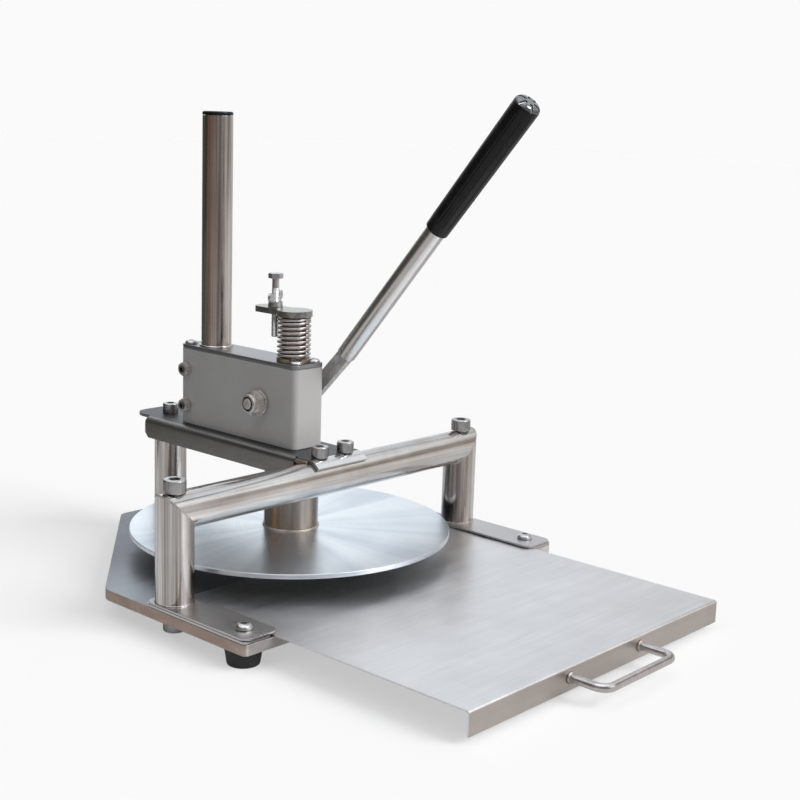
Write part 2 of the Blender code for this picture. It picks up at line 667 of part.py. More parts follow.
def portal():
    bottom = GUIDE_TOP + SEAT_GAP
    top = PORTAL_TOP + OVERRUN
    for name, side in SIDES:
        middle = (side * PORTAL_SPREAD, 0, (bottom + top) / 2)
        bm = round_bar(TUBE_RADIUS, top - bottom, Matrix.Translation(middle))
        mitre(bm, side, keep_above=False)
        post = new_object(f"front_post_{name}", bm, "polished_steel", (0, -PORTAL_SETBACK, 0))
        foot = [(side * PORTAL_SPREAD, -PORTAL_SETBACK)]
        reach = M10_SHANK + RUN_GAP
        drill(post, f"post_{name}_foot", foot, reach, bottom - OVERRUN, bottom + POST_BOLT_GRIP)
        screw_end = PORTAL_TOP - CORNER_SCREW_GRIP
        drill(post, f"post_{name}_head", foot, reach, screw_end - RUN_GAP, top)
    along = Matrix.Translation((0, 0, CROSSBAR_LEVEL)) @ Matrix.Rotation(math.radians(90), 4, "Y")
    bm = round_bar(TUBE_RADIUS, 2 * (PORTAL_SPREAD + TUBE_RADIUS + OVERRUN), along)
    for _, side in SIDES:
        mitre(bm, side, keep_above=True)
    bar = new_object("crossbar", bm, "polished_steel", (0, -PORTAL_SETBACK, 0))
    ends = [(side * PORTAL_SPREAD, -PORTAL_SETBACK) for _, side in SIDES]
    low = CROSSBAR_LEVEL - 2 * TUBE_RADIUS
    drill(bar, "crossbar_corners", ends, M10_SHANK + RUN_GAP, low, top)
    middle = [(side * BRIDGE_SCREW_SPREAD, -PORTAL_SETBACK) for _, side in SIDES]
    screw_end = BRIDGE_TOP - BRIDGE_SCREW_GRIP
    drill(bar, "crossbar_bridge", middle, M8_SHANK + RUN_GAP, screw_end - RUN_GAP, top)


def rear_post():
    bottom = BASE_TOP + SEAT_GAP
    place = (0, REAR_POST_SETBACK, (bottom + PORTAL_TOP) / 2)
    bm = round_bar(TUBE_RADIUS, PORTAL_TOP - bottom, Matrix.Identity(4))
    post = new_object("rear_post", bm, "polished_steel", place)
    axis = [(0, REAR_POST_SETBACK)]
    drill(post, "rear_post_foot", axis, M10_SHANK + RUN_GAP, bottom - OVERRUN, bottom + POST_BOLT_GRIP)
    screw_end = BRIDGE_TOP - BRIDGE_SCREW_GRIP
    drill(post, "rear_post_head", axis, M8_SHANK + RUN_GAP, screw_end - RUN_GAP, PORTAL_TOP + OVERRUN)


def portal_fasteners():
    upside_down = (math.pi, 0, 0)
    level = BASE_BOTTOM - SEAT_GAP
    for name, side in SIDES:
        grip = GUIDE_TOP - level + POST_BOLT_GRIP - RUN_GAP
        bm = socket_screw(M10_SHANK, grip, M10_HEAD_RADIUS, M10_HEAD_HEIGHT, M10_SOCKET_HALF)
        place = (side * PORTAL_SPREAD, -PORTAL_SETBACK, level)
        new_object(f"post_bolt_{name}", bm, "zinc_steel", place, upside_down)
        bm = socket_screw(
            M10_SHANK, CORNER_SCREW_GRIP, M10_HEAD_RADIUS, M10_HEAD_HEIGHT, M10_SOCKET_HALF
        )
        place = (side * PORTAL_SPREAD, -PORTAL_SETBACK, PORTAL_TOP + SEAT_GAP)
        new_object(f"corner_screw_{name}", bm, "zinc_steel", place)
        bm = socket_screw(M8_SHANK, BRIDGE_SCREW_GRIP, M8_HEAD_RADIUS, M8_HEAD_HEIGHT, M8_SOCKET_HALF)
        place = (side * BRIDGE_SCREW_SPREAD, -PORTAL_SETBACK, BRIDGE_TOP + SEAT_GAP)
        new_object(f"bridge_screw_{name}", bm, "zinc_steel", place)
    grip = BASE_TOP - level + POST_BOLT_GRIP - RUN_GAP
    bm = socket_screw(M10_SHANK, grip, M10_HEAD_RADIUS, M10_HEAD_HEIGHT, M10_SOCKET_HALF)
    new_object("rear_post_bolt", bm, "zinc_steel", (0, REAR_POST_SETBACK, level), upside_down)
    bm = socket_screw(M8_SHANK, BRIDGE_SCREW_GRIP, M8_HEAD_RADIUS, M8_HEAD_HEIGHT, M8_SOCKET_HALF)
    place = (0, REAR_POST_SETBACK, BRIDGE_TOP + SEAT_GAP)
    new_object("bridge_screw_rear", bm, "zinc_steel", place)


def channel_section(y, drop):
    """Points across the channel at one place along it, from one side's lower edge to the other's."""
    half = BRIDGE_WIDTH / 2
    section = [Vector((-half, -drop))]
    section += arc((BRIDGE_BEND - half, -BRIDGE_BEND), BRIDGE_BEND, math.pi, math.pi / 2, CORNER_STEPS)
    section += [Vector((-point.x, point.y)) for point in reversed(section)]
    return [(x, y, BRIDGE_TOP + z) for x, z in section]


def tongue_row(half, y, z=BRIDGE_TOP):
    """A row of the channel's width where only its flat top goes on."""
    blank = [None] * (CORNER_STEPS + 1)
    return blank + [(-half, y, z), (half, y, z)] + blank


def bridge_channel():
    """Inverted channel from the rear post to the crossbar, with a flat tongue at each end."""
    rows = []
    corner_y = REAR_TONGUE_END - REAR_TONGUE_CORNER
    rear_half = REAR_TONGUE_WIDTH / 2
    for point in arc((0, 0), REAR_TONGUE_CORNER, math.pi / 2, 0, CORNER_STEPS):
        rows.append(tongue_row(rear_half - REAR_TONGUE_CORNER + point.x, corner_y + point.y))
    rows.append(tongue_row(rear_half, BRIDGE_REAR + TONGUE_NECK))
    rows.append(channel_section(BRIDGE_REAR, BRIDGE_DEPTH - BRIDGE_CHAMFER))
    rows.append(channel_section(BRIDGE_REAR - BRIDGE_CHAMFER, BRIDGE_DEPTH))
    flange_end = TUBE_RADIUS + SEAT_GAP - PORTAL_SETBACK
    rows.append(channel_section(flange_end, BRIDGE_DEPTH))
    front_half = FRONT_TONGUE_WIDTH / 2
    rows.append(tongue_row(front_half, flange_end - TONGUE_NECK))
    wrap = TUBE_RADIUS + SEAT_GAP + BRIDGE_THICKNESS
    for step in range(LIP_STEPS + 1):
        angle = LIP_ANGLE * step / LIP_STEPS
        y = -PORTAL_SETBACK - wrap * math.sin(angle)
        rows.append(tongue_row(front_half, y, CROSSBAR_LEVEL + wrap * math.cos(angle)))
    bridge = new_object("bridge_channel", sheet(rows), "brushed_steel")
    if bridge.data.polygons[0].normal.z < 0:
        bridge.data.flip_normals()
    solidify(bridge, BRIDGE_THICKNESS)
    low, high = BRIDGE_BOTTOM - OVERRUN, BRIDGE_TOP + OVERRUN
    screws = [(side * BRIDGE_SCREW_SPREAD, -PORTAL_SETBACK) for _, side in SIDES]
    screws.append((0, REAR_POST_SETBACK))
    drill(bridge, "bridge_screw_holes", screws, M8_SHANK + RUN_GAP, low, high)
    drill(bridge, "bridge_ram_hole", [(0, 0)], RAM_RADIUS + RUN_GAP, low, high, ROUND_STEPS)


def housing_outline():
    corners = rectangle(-HOUSING_HALF, HOUSING_HALF, -HOUSING_FRONT, HOUSING_REAR)
    return rounded_outline(corners, HOUSING_CORNER)


def head_housing():
    """The painted box round the mechanism: walls only, closed by the bridge and the cover."""
    bm = bmesh.new()
    points = [bm.verts.new((x, y, HOUSING_FLOOR)) for x, y in housing_outline()]
    edges = [bm.edges.new((points[i - 1], points[i])) for i in range(len(points))]
    lifted = bmesh.ops.extrude_edge_only(bm, edges=edges)["geom"]
    corners = [item for item in lifted if isinstance(item, bmesh.types.BMVert)]
    bmesh.ops.translate(bm, verts=corners, vec=(0, 0, HOUSING_HEIGHT))
    housing = new_object("head_housing", bm, "grey_paint")
    solidify(housing, HOUSING_WALL)
    outside = HOUSING_HALF + OVERRUN
    inside = INNER_HALF - OVERRUN
    axle = [(AXLE_SETBACK, AXLE_LEVEL)]
    cross_drill(housing, "housing_axle", axle, AXLE_RADIUS + RUN_GAP, -outside, -inside)
    cross_drill(housing, "housing_sleeve", axle, SLEEVE_RADIUS + RUN_GAP, inside, outside)
    clamps = [(CLAMP_SCREW_SETBACK, level) for level in CLAMP_SCREW_LEVELS]
    cross_drill(housing, "housing_clamps", clamps, M5_SHANK + RUN_GAP, -outside, -inside)


def cover_screw_places():
    rows = (
        ("front", COVER_SCREW_INSET - HOUSING_FRONT),
        ("rear", HOUSING_REAR - COVER_SCREW_INSET),
    )
    return [(f"{row}_{name}", side * COVER_SCREW_SPREAD, y) for row, y in rows for name, side in SIDES]


def head_cover():
    bm = slab(housing_outline(), COVER_BOTTOM, COVER_THICKNESS)
    cover = new_object("head_cover", bm, "brushed_steel")
    low, high = COVER_BOTTOM - OVERRUN, COVER_TOP + OVERRUN
    drill(cover, "cover_bush_hole", [(0, 0)], BUSH_RADIUS + RUN_GAP, low, high, ROUND_STEPS)
    drill(cover, "cover_pole_hole", [(0, POLE_SETBACK)], POLE_RADIUS + RUN_GAP, low, high, ROUND_STEPS)
    screws = [(x, y) for _, x, y in cover_screw_places()]
    drill(cover, "cover_screw_holes", screws, M5_SHANK + RUN_GAP, low, high, SCREW_STEPS)
    for name, x, y in cover_screw_places():
        bm = button_screw(M5_SHANK, COVER_THICKNESS, M5_BUTTON_RADIUS, M5_BUTTON_HEIGHT, M5_SOCKET_HALF)
        new_object(f"cover_screw_{name}", bm, "zinc_steel", (x, y, COVER_TOP + SEAT_GAP))


def ram_guides():
    """Flanged bush in the cover, and the guide block on the bridge."""
    bore = RAM_RADIUS + RUN_GAP
    bottom = COVER_TOP + SEAT_GAP
    top = bottom + BUSH_FLANGE_HEIGHT
    rings = [
        (BUSH_RADIUS, top - BUSH_LENGTH),
        (BUSH_RADIUS, bottom),
        (BUSH_FLANGE_RADIUS, bottom),
        (BUSH_FLANGE_RADIUS, top),
        (bore, top),
        (bore, top - BUSH_LENGTH),
    ]
    bush = new_object("guide_bush", turned(rings, ROUND_STEPS, bored=True), "bronze")
    heads = [(x, y) for row, x, y in cover_screw_places() if row.startswith("front")]
    room = M5_BUTTON_RADIUS + RUN_GAP
    drill(bush, "bush_screw_room", heads, room, COVER_TOP - OVERRUN, top + OVERRUN)
    reach = INNER_HALF - RUN_GAP
    corners = rectangle(-reach, reach, -GUIDE_BLOCK_REACH, GUIDE_BLOCK_REACH)
    bm = slab(rounded_outline(corners, INNER_CORNER), HOUSING_FLOOR, GUIDE_BLOCK_HEIGHT)
    block = new_object("ram_guide_block", bm, "turned_steel")
    low = HOUSING_FLOOR - OVERRUN
    high = HOUSING_FLOOR + GUIDE_BLOCK_HEIGHT + OVERRUN
    drill(block, "guide_block_bore", [(0, 0)], bore, low, high, ROUND_STEPS)


def brace_pole():
    """The pole that the user holds against, the block that carries it and the cap on its end."""
    block_top = HOUSING_TOP - BLOCK_TOP_GAP
    seat = COVER_TOP + SEAT_GAP
    cap_seat = COVER_TOP + POLE_RISE - POLE_CAP_THICKNESS
    bore = POLE_RADIUS - POLE_WALL
    rings = [
        (POLE_RADIUS, block_top + SEAT_GAP),
        (POLE_RADIUS, seat),
        (POLE_RADIUS + POLE_WELD, seat),
        (POLE_RADIUS, seat + POLE_WELD),
        (POLE_RADIUS, cap_seat - SEAT_GAP),
        (bore, cap_seat - SEAT_GAP),
        (bore, block_top + SEAT_GAP),
    ]
    bm = turned(rings, ROUND_STEPS, bored=True)
    new_object("brace_pole", bm, "polished_steel", (0, POLE_SETBACK, 0))
    rings = [
        (bore - RUN_GAP, cap_seat - POLE_CAP_PLUG),
        (bore - RUN_GAP, cap_seat),
        (POLE_RADIUS, cap_seat),
        (POLE_RADIUS, COVER_TOP + POLE_RISE - SCREW_EDGE),
        (POLE_RADIUS - SCREW_EDGE, COVER_TOP + POLE_RISE),
    ]
    new_object("pole_cap", turned(rings, ROUND_STEPS), "black_plastic", (0, POLE_SETBACK, 0))


def pole_block():
    """Block in the rear of the head, with the spigot that the pole sits on."""
    reach = INNER_HALF - RUN_GAP
    rear = HOUSING_REAR - HOUSING_WALL - RUN_GAP
    height = HOUSING_HEIGHT - BLOCK_TOP_GAP
    outline = rounded_outline(rectangle(-reach, reach, BLOCK_FRONT, rear), INNER_CORNER)
    block = new_object("pole_block", slab(outline, HOUSING_FLOOR, height), "turned_steel")
    top = HOUSING_FLOOR + height
    middle = Matrix.Translation((0, POLE_SETBACK, top))
    bm = round_bar(POLE_RADIUS - POLE_WALL - RUN_GAP, 2 * SPIGOT_HEIGHT, middle)
    boolean(block, cutter("spigot_body", bm), "UNION")
    clamps = [(CLAMP_SCREW_SETBACK, level) for level in CLAMP_SCREW_LEVELS]
    deepest = CLAMP_SCREW_GRIP + RUN_GAP - HOUSING_HALF
    cross_drill(block, "pole_block_clamps", clamps, M5_SHANK + RUN_GAP, -HOUSING_HALF, deepest)


def clamp_screws():
    """Two screws with washers hold the pole's block from the left side."""
    to_left = (0, -math.pi / 2, 0)
    bore = M5_SHANK + RUN_GAP
    head = M5_BUTTON_RADIUS - SCREW_EDGE
    for name, level in zip(("lower", "upper"), CLAMP_SCREW_LEVELS):
        wall = HOUSING_HALF + SEAT_GAP
        bm = tube(M5_WASHER_RADIUS, bore, 0, M5_WASHER_THICKNESS, SCREW_STEPS)
        new_object(f"clamp_washer_{name}", bm, "zinc_steel", (-wall, CLAMP_SCREW_SETBACK, level), to_left)
        wall += M5_WASHER_THICKNESS + SEAT_GAP
        grip = wall - HOUSING_HALF + CLAMP_SCREW_GRIP
        bm = button_screw(M5_SHANK, grip, head, M5_BUTTON_HEIGHT, M5_SOCKET_HALF)
        place = (-wall, CLAMP_SCREW_SETBACK, level)
        new_object(f"clamp_screw_{name}", bm, "zinc_steel", place, to_left)


def axle_parts():
    """A long bolt through the head, with a washer and a lock nut on the left side."""
    head_face = LEVER_PLANE + LEVER_BAR_THICKNESS / 2 + 2 * SEAT_GAP
    washer_face = -(HOUSING_HALF + SEAT_GAP)
    nut_face = washer_face - AXLE_WASHER_THICKNESS - SEAT_GAP
    nut_end = nut_face - AXLE_NUT_HEIGHT - AXLE_NUT_COLLAR
    grip = head_face - nut_end + AXLE_END
    corner = hexagon(AXLE_HEX_HALF, math.radians(30))
    shank = [(AXLE_RADIUS - SCREW_EDGE, -grip), (AXLE_RADIUS, SCREW_EDGE - grip), (AXLE_RADIUS, 0)]
    bm = turned(shank + hex_head(AXLE_HEX_HALF, AXLE_HEAD_HEIGHT), SCREW_STEPS * 2)
    to_right = (0, math.pi / 2, 0)
    to_left = (0, -math.pi / 2, 0)
    new_object("axle_bolt", bm, "zinc_steel", (head_face, AXLE_SETBACK, AXLE_LEVEL), to_right)
    bore = AXLE_RADIUS + RUN_GAP
    bm = tube(AXLE_WASHER_RADIUS, bore, 0, AXLE_WASHER_THICKNESS)
    new_object("axle_washer", bm, "zinc_steel", (washer_face, AXLE_SETBACK, AXLE_LEVEL), to_left)
    collar_top = AXLE_NUT_HEIGHT + AXLE_NUT_COLLAR
    rings = [
        (corner, 0, AXLE_HEX_HALF),
        (corner, AXLE_NUT_HEIGHT - SCREW_EDGE, AXLE_HEX_HALF),
        (AXLE_HEX_HALF, AXLE_NUT_HEIGHT, AXLE_HEX_HALF),
        (AXLE_NUT_COLLAR_RADIUS, AXLE_NUT_HEIGHT),
        (AXLE_NUT_COLLAR_RADIUS, collar_top - SCREW_EDGE),
        (AXLE_NUT_COLLAR_RADIUS - SCREW_EDGE, collar_top),
        (bore, collar_top),
        (bore, 0),
    ]
    bm = turned(rings, SCREW_STEPS * 2, bored=True)
    new_object("axle_nut", bm, "zinc_steel", (nut_face, AXLE_SETBACK, AXLE_LEVEL), to_left)


def side_plate(outline, thickness):
    """A plate that stands across X: its outline is given as (towards the front, up)."""
    bm = slab(outline, -thickness / 2, thickness)
    stand = Matrix(((0, 0, -1), (-1, 0, 0), (0, 1, 0)))
    bmesh.ops.rotate(bm, verts=bm.verts, matrix=stand)
    return bm


def rocker(pivot):
    """Sleeve on the axle with a finger that reaches into the ram's notch."""
    tip = arc((ROCKER_REACH, 0), ROCKER_TIP_RADIUS, -math.radians(130), math.radians(130), 12)
    spread = math.radians(35)
    eye = arc((0, 0), ROCKER_EYE_RADIUS, spread, math.tau - spread, HOLE_STEPS)
    neck = Vector((ROCKER_REACH - ROCKER_NECK_LENGTH, ROCKER_NECK_HALF))
    outline = [Vector((neck.x, -neck.y))] + tip + [neck] + eye
    place = (0, AXLE_SETBACK, AXLE_LEVEL)
    turn = (-ROCKER_REST_ANGLE, 0, 0)
    finger = new_object("rocker", side_plate(outline, ROCKER_THICKNESS), "turned_steel", place, turn, pivot)
    left = RUN_GAP - INNER_HALF
    right = LEVER_PLANE + LEVER_BAR_THICKNESS / 2
    along = Matrix.Translation(((left + right) / 2, 0, 0)) @ Matrix.Rotation(math.radians(90), 4, "Y")
    sleeve = cutter("sleeve_body", round_bar(SLEEVE_RADIUS, right - left, along), place)
    boolean(finger, sleeve, "UNION")
    bore = AXLE_RADIUS + RUN_GAP
    cross_drill(finger, "rocker_bore", [(AXLE_SETBACK, AXLE_LEVEL)], bore, left - OVERRUN, right + OVERRUN)


def along_lever(angle):
    """Direction, as (towards the front, up), of a piece of the lever at an angle above level."""
    return Vector((math.cos(angle), math.sin(angle)))


def lever_joint():
    """Where the bar meets the tube, as (towards the front, up) from the axle."""
    bar = along_lever(LEVER_BAR_ANGLE)
    down = Vector((bar.y, -bar.x))
    return bar * LEVER_BAR_LENGTH + down * (LEVER_EYE_RADIUS - LEVER_BAR_WIDTH / 2)


def lever_bar(pivot):
    """Flat bar with an eye round the sleeve; its lower edge is tangent to the eye."""
    bar = along_lever(LEVER_BAR_ANGLE)
    down = Vector((bar.y, -bar.x))
    tube_way = along_lever(LEVER_TUBE_ANGLE)
    tube_down = Vector((tube_way.y, -tube_way.x))
    joint = lever_joint()
    half, slim = LEVER_BAR_WIDTH / 2, LEVER_TONGUE_WIDTH / 2
    upper_offset = LEVER_EYE_RADIUS - LEVER_BAR_WIDTH
    leave = -math.asin(upper_offset / LEVER_EYE_RADIUS)
    first, last = LEVER_BAR_ANGLE + leave, LEVER_BAR_ANGLE + math.radians(270)
    eye = arc((0, 0), LEVER_EYE_RADIUS, first, last, HOLE_STEPS)
    tongue_end = joint + tube_way * LEVER_TONGUE_LENGTH
    outline = [
        joint + down * half,
        joint + tube_down * slim,
        tongue_end + tube_down * slim,
        tongue_end - tube_down * slim,
        joint - tube_down * slim,
        joint - down * half,
    ] + eye[:-1]
    outline.append(down * LEVER_EYE_RADIUS)
    place = (LEVER_PLANE, AXLE_SETBACK, AXLE_LEVEL)
    bm = side_plate(outline, LEVER_BAR_THICKNESS)
    piece = new_object("lever_bar", bm, "brushed_steel", place, parent=pivot)
    left = LEVER_PLANE - LEVER_BAR_THICKNESS
    right = LEVER_PLANE + LEVER_BAR_THICKNESS
    bore = SLEEVE_RADIUS + RUN_GAP
    cross_drill(piece, "lever_bar_eye", [(AXLE_SETBACK, AXLE_LEVEL)], bore, left, right)


def lever_tube_and_grip(pivot):
    joint = lever_joint()
    place = (LEVER_PLANE, AXLE_SETBACK - joint.x, AXLE_LEVEL + joint.y)
    turn = (math.radians(90) - LEVER_TUBE_ANGLE, 0, 0)
    bore = LEVER_TUBE_RADIUS - LEVER_TUBE_WALL
    kink = LEVER_TUBE_ANGLE - LEVER_BAR_ANGLE
    start = LEVER_BAR_WIDTH / 2 * math.sin(kink) + SEAT_GAP
    end = LEVER_LENGTH - GRIP_CAP - RUN_GAP
    rings = [
        (LEVER_TUBE_RADIUS - LEVER_TUBE_CRIMP, start),
        (LEVER_TUBE_RADIUS, start + LEVER_TUBE_RADIUS),
        (LEVER_TUBE_RADIUS, end),
        (bore, end),
        (bore, start + LEVER_TUBE_RADIUS),
        (bore - LEVER_TUBE_CRIMP / 2, start),
    ]
    bm = turned(rings, ROUND_STEPS, bored=True)
    new_object("lever_tube", bm, "polished_steel", place, turn, pivot)
    grip_bore = LEVER_TUBE_RADIUS + RUN_GAP
    grip_start = LEVER_LENGTH - GRIP_LENGTH
    rings = [
        (grip_bore, LEVER_LENGTH - GRIP_CAP),
        (grip_bore, grip_start),
        (GRIP_START_RADIUS, grip_start),
        (GRIP_START_RADIUS, grip_start + GRIP_COLLAR),
    ]
    for share in (0.25, 0.5, 0.75):
        radius = GRIP_START_RADIUS + (GRIP_END_RADIUS - GRIP_START_RADIUS) * share
        rings.append((radius, grip_start + GRIP_LENGTH * share))
    rings.append((GRIP_END_RADIUS, LEVER_LENGTH - GRIP_ROUNDING))
    for point in arc((0, 0), GRIP_ROUNDING, 0, math.radians(90), CORNER_STEPS)[1:]:
        rings.append((GRIP_END_RADIUS - GRIP_ROUNDING + point.x, LEVER_LENGTH - GRIP_ROUNDING + point.y))
    new_object("lever_grip", turned(rings, SCREW_STEPS * 2), "black_plastic", place, turn, pivot)


def press_disc(ram):
    rings = [(DISC_RADIUS, 0), (DISC_RADIUS, DISC_THICKNESS)]
    bm = turned(rings, FINE_STEPS)
    new_object("press_disc", bm, "brushed_steel", (0, 0, DISC_BOTTOM), parent=ram)


def ram_hub(ram):
    """Collar welded on the disc; its top face stops the ram under the bridge."""
    bore = RAM_RADIUS + RUN_GAP
    top = BRIDGE_BOTTOM - SEAT_GAP
    rings = [
        (HUB_RADIUS, HUB_BOTTOM),
        (HUB_RADIUS, top - HUB_EDGE),
        (HUB_RADIUS - HUB_EDGE, top),
        (bore, top),
        (bore, HUB_BOTTOM + HUB_FLOOR),
    ]
    new_object("ram_hub", turned(rings, ROUND_STEPS), "turned_steel", parent=ram)


def ram_shaft(ram):
    bottom = HUB_BOTTOM + HUB_FLOOR + SEAT_GAP
    top = CAP_BOTTOM - SEAT_GAP
    rings = [
        (RAM_RADIUS - RAM_EDGE, bottom),
        (RAM_RADIUS, bottom + RAM_EDGE),
        (RAM_RADIUS, top),
    ]
    shaft = new_object("ram_shaft", turned(rings, ROUND_STEPS), "polished_steel", parent=ram)
    side = RAM_RADIUS + OVERRUN
    reach = ROCKER_TIP_RADIUS + RUN_GAP
    box_cut(
        shaft,
        "ram_flat",
        (-side, RAM_FLAT_DEPTH, TIP_LEVEL - RAM_FLAT_HALF_HEIGHT),
        (side, side, TIP_LEVEL + RAM_FLAT_HALF_HEIGHT),
    )
    box_cut(shaft, "ram_notch", (-side, -NOTCH_DEPTH, TIP_LEVEL - reach), (side, side, TIP_LEVEL + reach))


def two_lobes(first, second, distance):
    """Outline round two circles on the Y axis: the first at the origin, the second behind it."""
    lean = math.acos((first - second) / distance)
    near = arc((0, 0), first, math.radians(90) + lean, math.radians(450) - lean, HOLE_STEPS)
    far = arc((0, distance), second, math.radians(90) - lean, math.radians(90) + lean, HOLE_STEPS // 2)
    return near + far


def cap_plate(ram):
    outline = two_lobes(CAP_FRONT_RADIUS, CAP_REAR_RADIUS, CAP_REAR_SETBACK)
    plate = new_object("cap_plate", slab(outline, CAP_BOTTOM, CAP_THICKNESS), "brushed_steel", parent=ram)
    low, high = CAP_BOTTOM - OVERRUN, CAP_TOP + OVERRUN
    drill(plate, "cap_plate_thread", [(0, STOP_SETBACK)], M6_SHANK + RUN_GAP, low, high, SCREW_STEPS)


def spring_points(bottom, top):
    """Centre line of the wire: a helix whose ends run straight up and down for one diameter."""
    straight = 2 * SPRING_WIRE_RADIUS
    low, high = bottom + straight, top - straight
    count = SPRING_TURNS * SPRING_POINTS
    points = [Vector((SPRING_RADIUS, 0, bottom))]
    for step in range(count + 1):
        angle = math.tau * step / SPRING_POINTS
        height = low + (high - low) * step / count
        points.append(Vector((SPRING_RADIUS * math.cos(angle), SPRING_RADIUS * math.sin(angle), height)))
    last = points[-1]
    points.append(Vector((last.x, last.y, top)))
    return points


def least_gap(points, radius):
    """Smallest distance between wire surfaces of points that are at least half a turn apart."""
    apart = SPRING_POINTS // 2
    gaps = [
        (first - second).length
        for index, first in enumerate(points)
        for second in points[index + apart :]
    ]
    return min(gaps) - 2 * radius


def return_spring(ram):
    bottom = COVER_TOP + SEAT_GAP + BUSH_FLANGE_HEIGHT + SEAT_GAP
    top = CAP_BOTTOM - SEAT_GAP
    points = spring_points(bottom, top)
    curve = bpy.data.curves.new("return_spring", "CURVE")
    curve.dimensions = "3D"
    curve.bevel_depth = SPRING_WIRE_RADIUS
    curve.bevel_resolution = 1
    curve.use_fill_caps = True
    spline = curve.splines.new("POLY")
    spline.points.add(len(points) - 1)
    for target, point in zip(spline.points, points):
        target.co = (*point, 1.0)
    curve.materials.append(material_named("spring_steel"))
    spring = bpy.data.objects.new("return_spring", curve)
    bpy.context.collection.objects.link(spring)
    settle(spring, (0, 0, 0), (0, 0, 0), ram)
    print(f"return_spring least gap to itself {least_gap(points, SPRING_WIRE_RADIUS) / MM:.2f} mm")


def depth_stop(ram):
    """Hex bolt through the cap plate, whose tip meets the cover, and the wing nut that locks it."""
    tip = COVER_TOP + STOP_CLEARANCE
    head = tip + STOP_LENGTH
    slide = joint_empty("stop_bolt_axis", (0, STOP_SETBACK, head))
    slide.parent = ram
    slide.location -= ram.location
    shank = [(M6_SHANK - SCREW_EDGE, -STOP_LENGTH), (M6_SHANK, SCREW_EDGE - STOP_LENGTH), (M6_SHANK, 0)]
    bm = turned(shank + hex_head(M6_HEX_HALF, M6_HEX_HEIGHT), SCREW_STEPS)
    bolt = new_object("stop_bolt", bm, "zinc_steel")
    bolt.parent = slide
    seat = CAP_TOP + SEAT_GAP
    bore = M6_SHANK + RUN_GAP
    rings = [
        (WING_NUT_RADIUS, 0),
        (WING_NUT_RADIUS - SCREW_EDGE, WING_NUT_HEIGHT),
        (bore, WING_NUT_HEIGHT),
        (bore, 0),
    ]
    bm = turned(rings, SCREW_STEPS * 2, bored=True)
    place = (0, STOP_SETBACK, seat)
    turn = (0, 0, WING_NUT_TURN)
    nut = new_object("wing_nut", bm, "zinc_steel", place, turn, ram)
    for name, side in SIDES:
        corners = [(side * x, height) for x, height in WING_CORNERS]
        outline = rounded_outline(corners[::side], WING_CORNER_RADII[::side])
        bm = slab(outline, -WING_THICKNESS / 2, WING_THICKNESS)
        bmesh.ops.rotate(bm, verts=bm.verts, matrix=Matrix.Rotation(math.radians(90), 3, "X"))
        wing = cutter(f"wing_{name}_body", bm, place, turn)
        boolean(nut, wing, "UNION")


def tray_sheet(tray):
    """Flat sheet whose front edge is bent down; rows run from the rear edge to the flange's foot."""
    half = TRAY_WIDTH / 2
    rear = TRAY_FRONT + TRAY_DEPTH
    rows = []
    for point in arc((0, 0), TRAY_CORNER, math.pi / 2, 0, CORNER_STEPS):
        edge = half - TRAY_CORNER + point.x
        y = rear - TRAY_CORNER + point.y
        rows.append([(-edge, y, TRAY_TOP), (edge, y, TRAY_TOP)])
    bend = (TRAY_FRONT + TRAY_BEND, TRAY_TOP - TRAY_BEND)
    for point in arc(bend, TRAY_BEND, math.pi / 2, math.pi, CORNER_STEPS):
        rows.append([(-half, point.x, point.y), (half, point.x, point.y)])
    foot = TRAY_TOP - TRAY_FLANGE
    rows.append([(-half, TRAY_FRONT, foot), (half, TRAY_FRONT, foot)])
    piece = new_object("tray", sheet(rows), "brushed_steel", parent=tray)
    if piece.data.polygons[0].normal.z < 0:
        piece.data.flip_normals()
    solidify(piece, TRAY_THICKNESS)


def tray_handle(tray):
    """Rod bent to a U, its two ends welded to the tray's flange."""
    root = TRAY_FRONT - SEAT_GAP
    front = TRAY_FRONT - HANDLE_REACH
    half = HANDLE_SPREAD / 2
    right_bend = arc((half - HANDLE_BEND, front + HANDLE_BEND), HANDLE_BEND, 0, -math.pi / 2, CORNER_STEPS)
    path = [Vector((half, root))] + right_bend
    path += [Vector((-point.x, point.y)) for point in reversed(path)]
    curve = bpy.data.curves.new("tray_handle", "CURVE")
    curve.dimensions = "3D"
    curve.bevel_depth = HANDLE_ROD_RADIUS
    curve.bevel_resolution = 4
    curve.use_fill_caps = True
    spline = curve.splines.new("POLY")
    spline.points.add(len(path) - 1)
    for target, point in zip(spline.points, path):
        target.co = (point.x, point.y, TRAY_TOP - HANDLE_DROP, 1.0)
    curve.materials.append(material_named("polished_steel"))
    handle = bpy.data.objects.new("tray_handle", curve)
    bpy.context.collection.objects.link(handle)
    settle(handle, (0, 0, 0), (0, 0, 0), tray)


def build():
    clear_scene()
    base_plate()
    feet()
    foot_fasteners()
    tray_guides()
    portal()
    rear_post()
    portal_fasteners()
    bridge_channel()
    head_housing()
    head_cover()
    ram_guides()
    brace_pole()
    pole_block()
    clamp_screws()
    axle_parts()
    pivot = joint_empty("lever_axis", (0, AXLE_SETBACK, AXLE_LEVEL))
    rocker(pivot)
    lever_bar(pivot)
    lever_tube_and_grip(pivot)
    ram = joint_empty("ram_axis", (0, 0, DISC_BOTTOM))
    press_disc(ram)
    ram_hub(ram)
    ram_shaft(ram)
    cap_plate(ram)
    return_spring(ram)
    depth_stop(ram)
    tray = joint_empty("tray_axis", (0, TRAY_FRONT, TRAY_TOP))
    tray_sheet(tray)
    tray_handle(tray)


build()
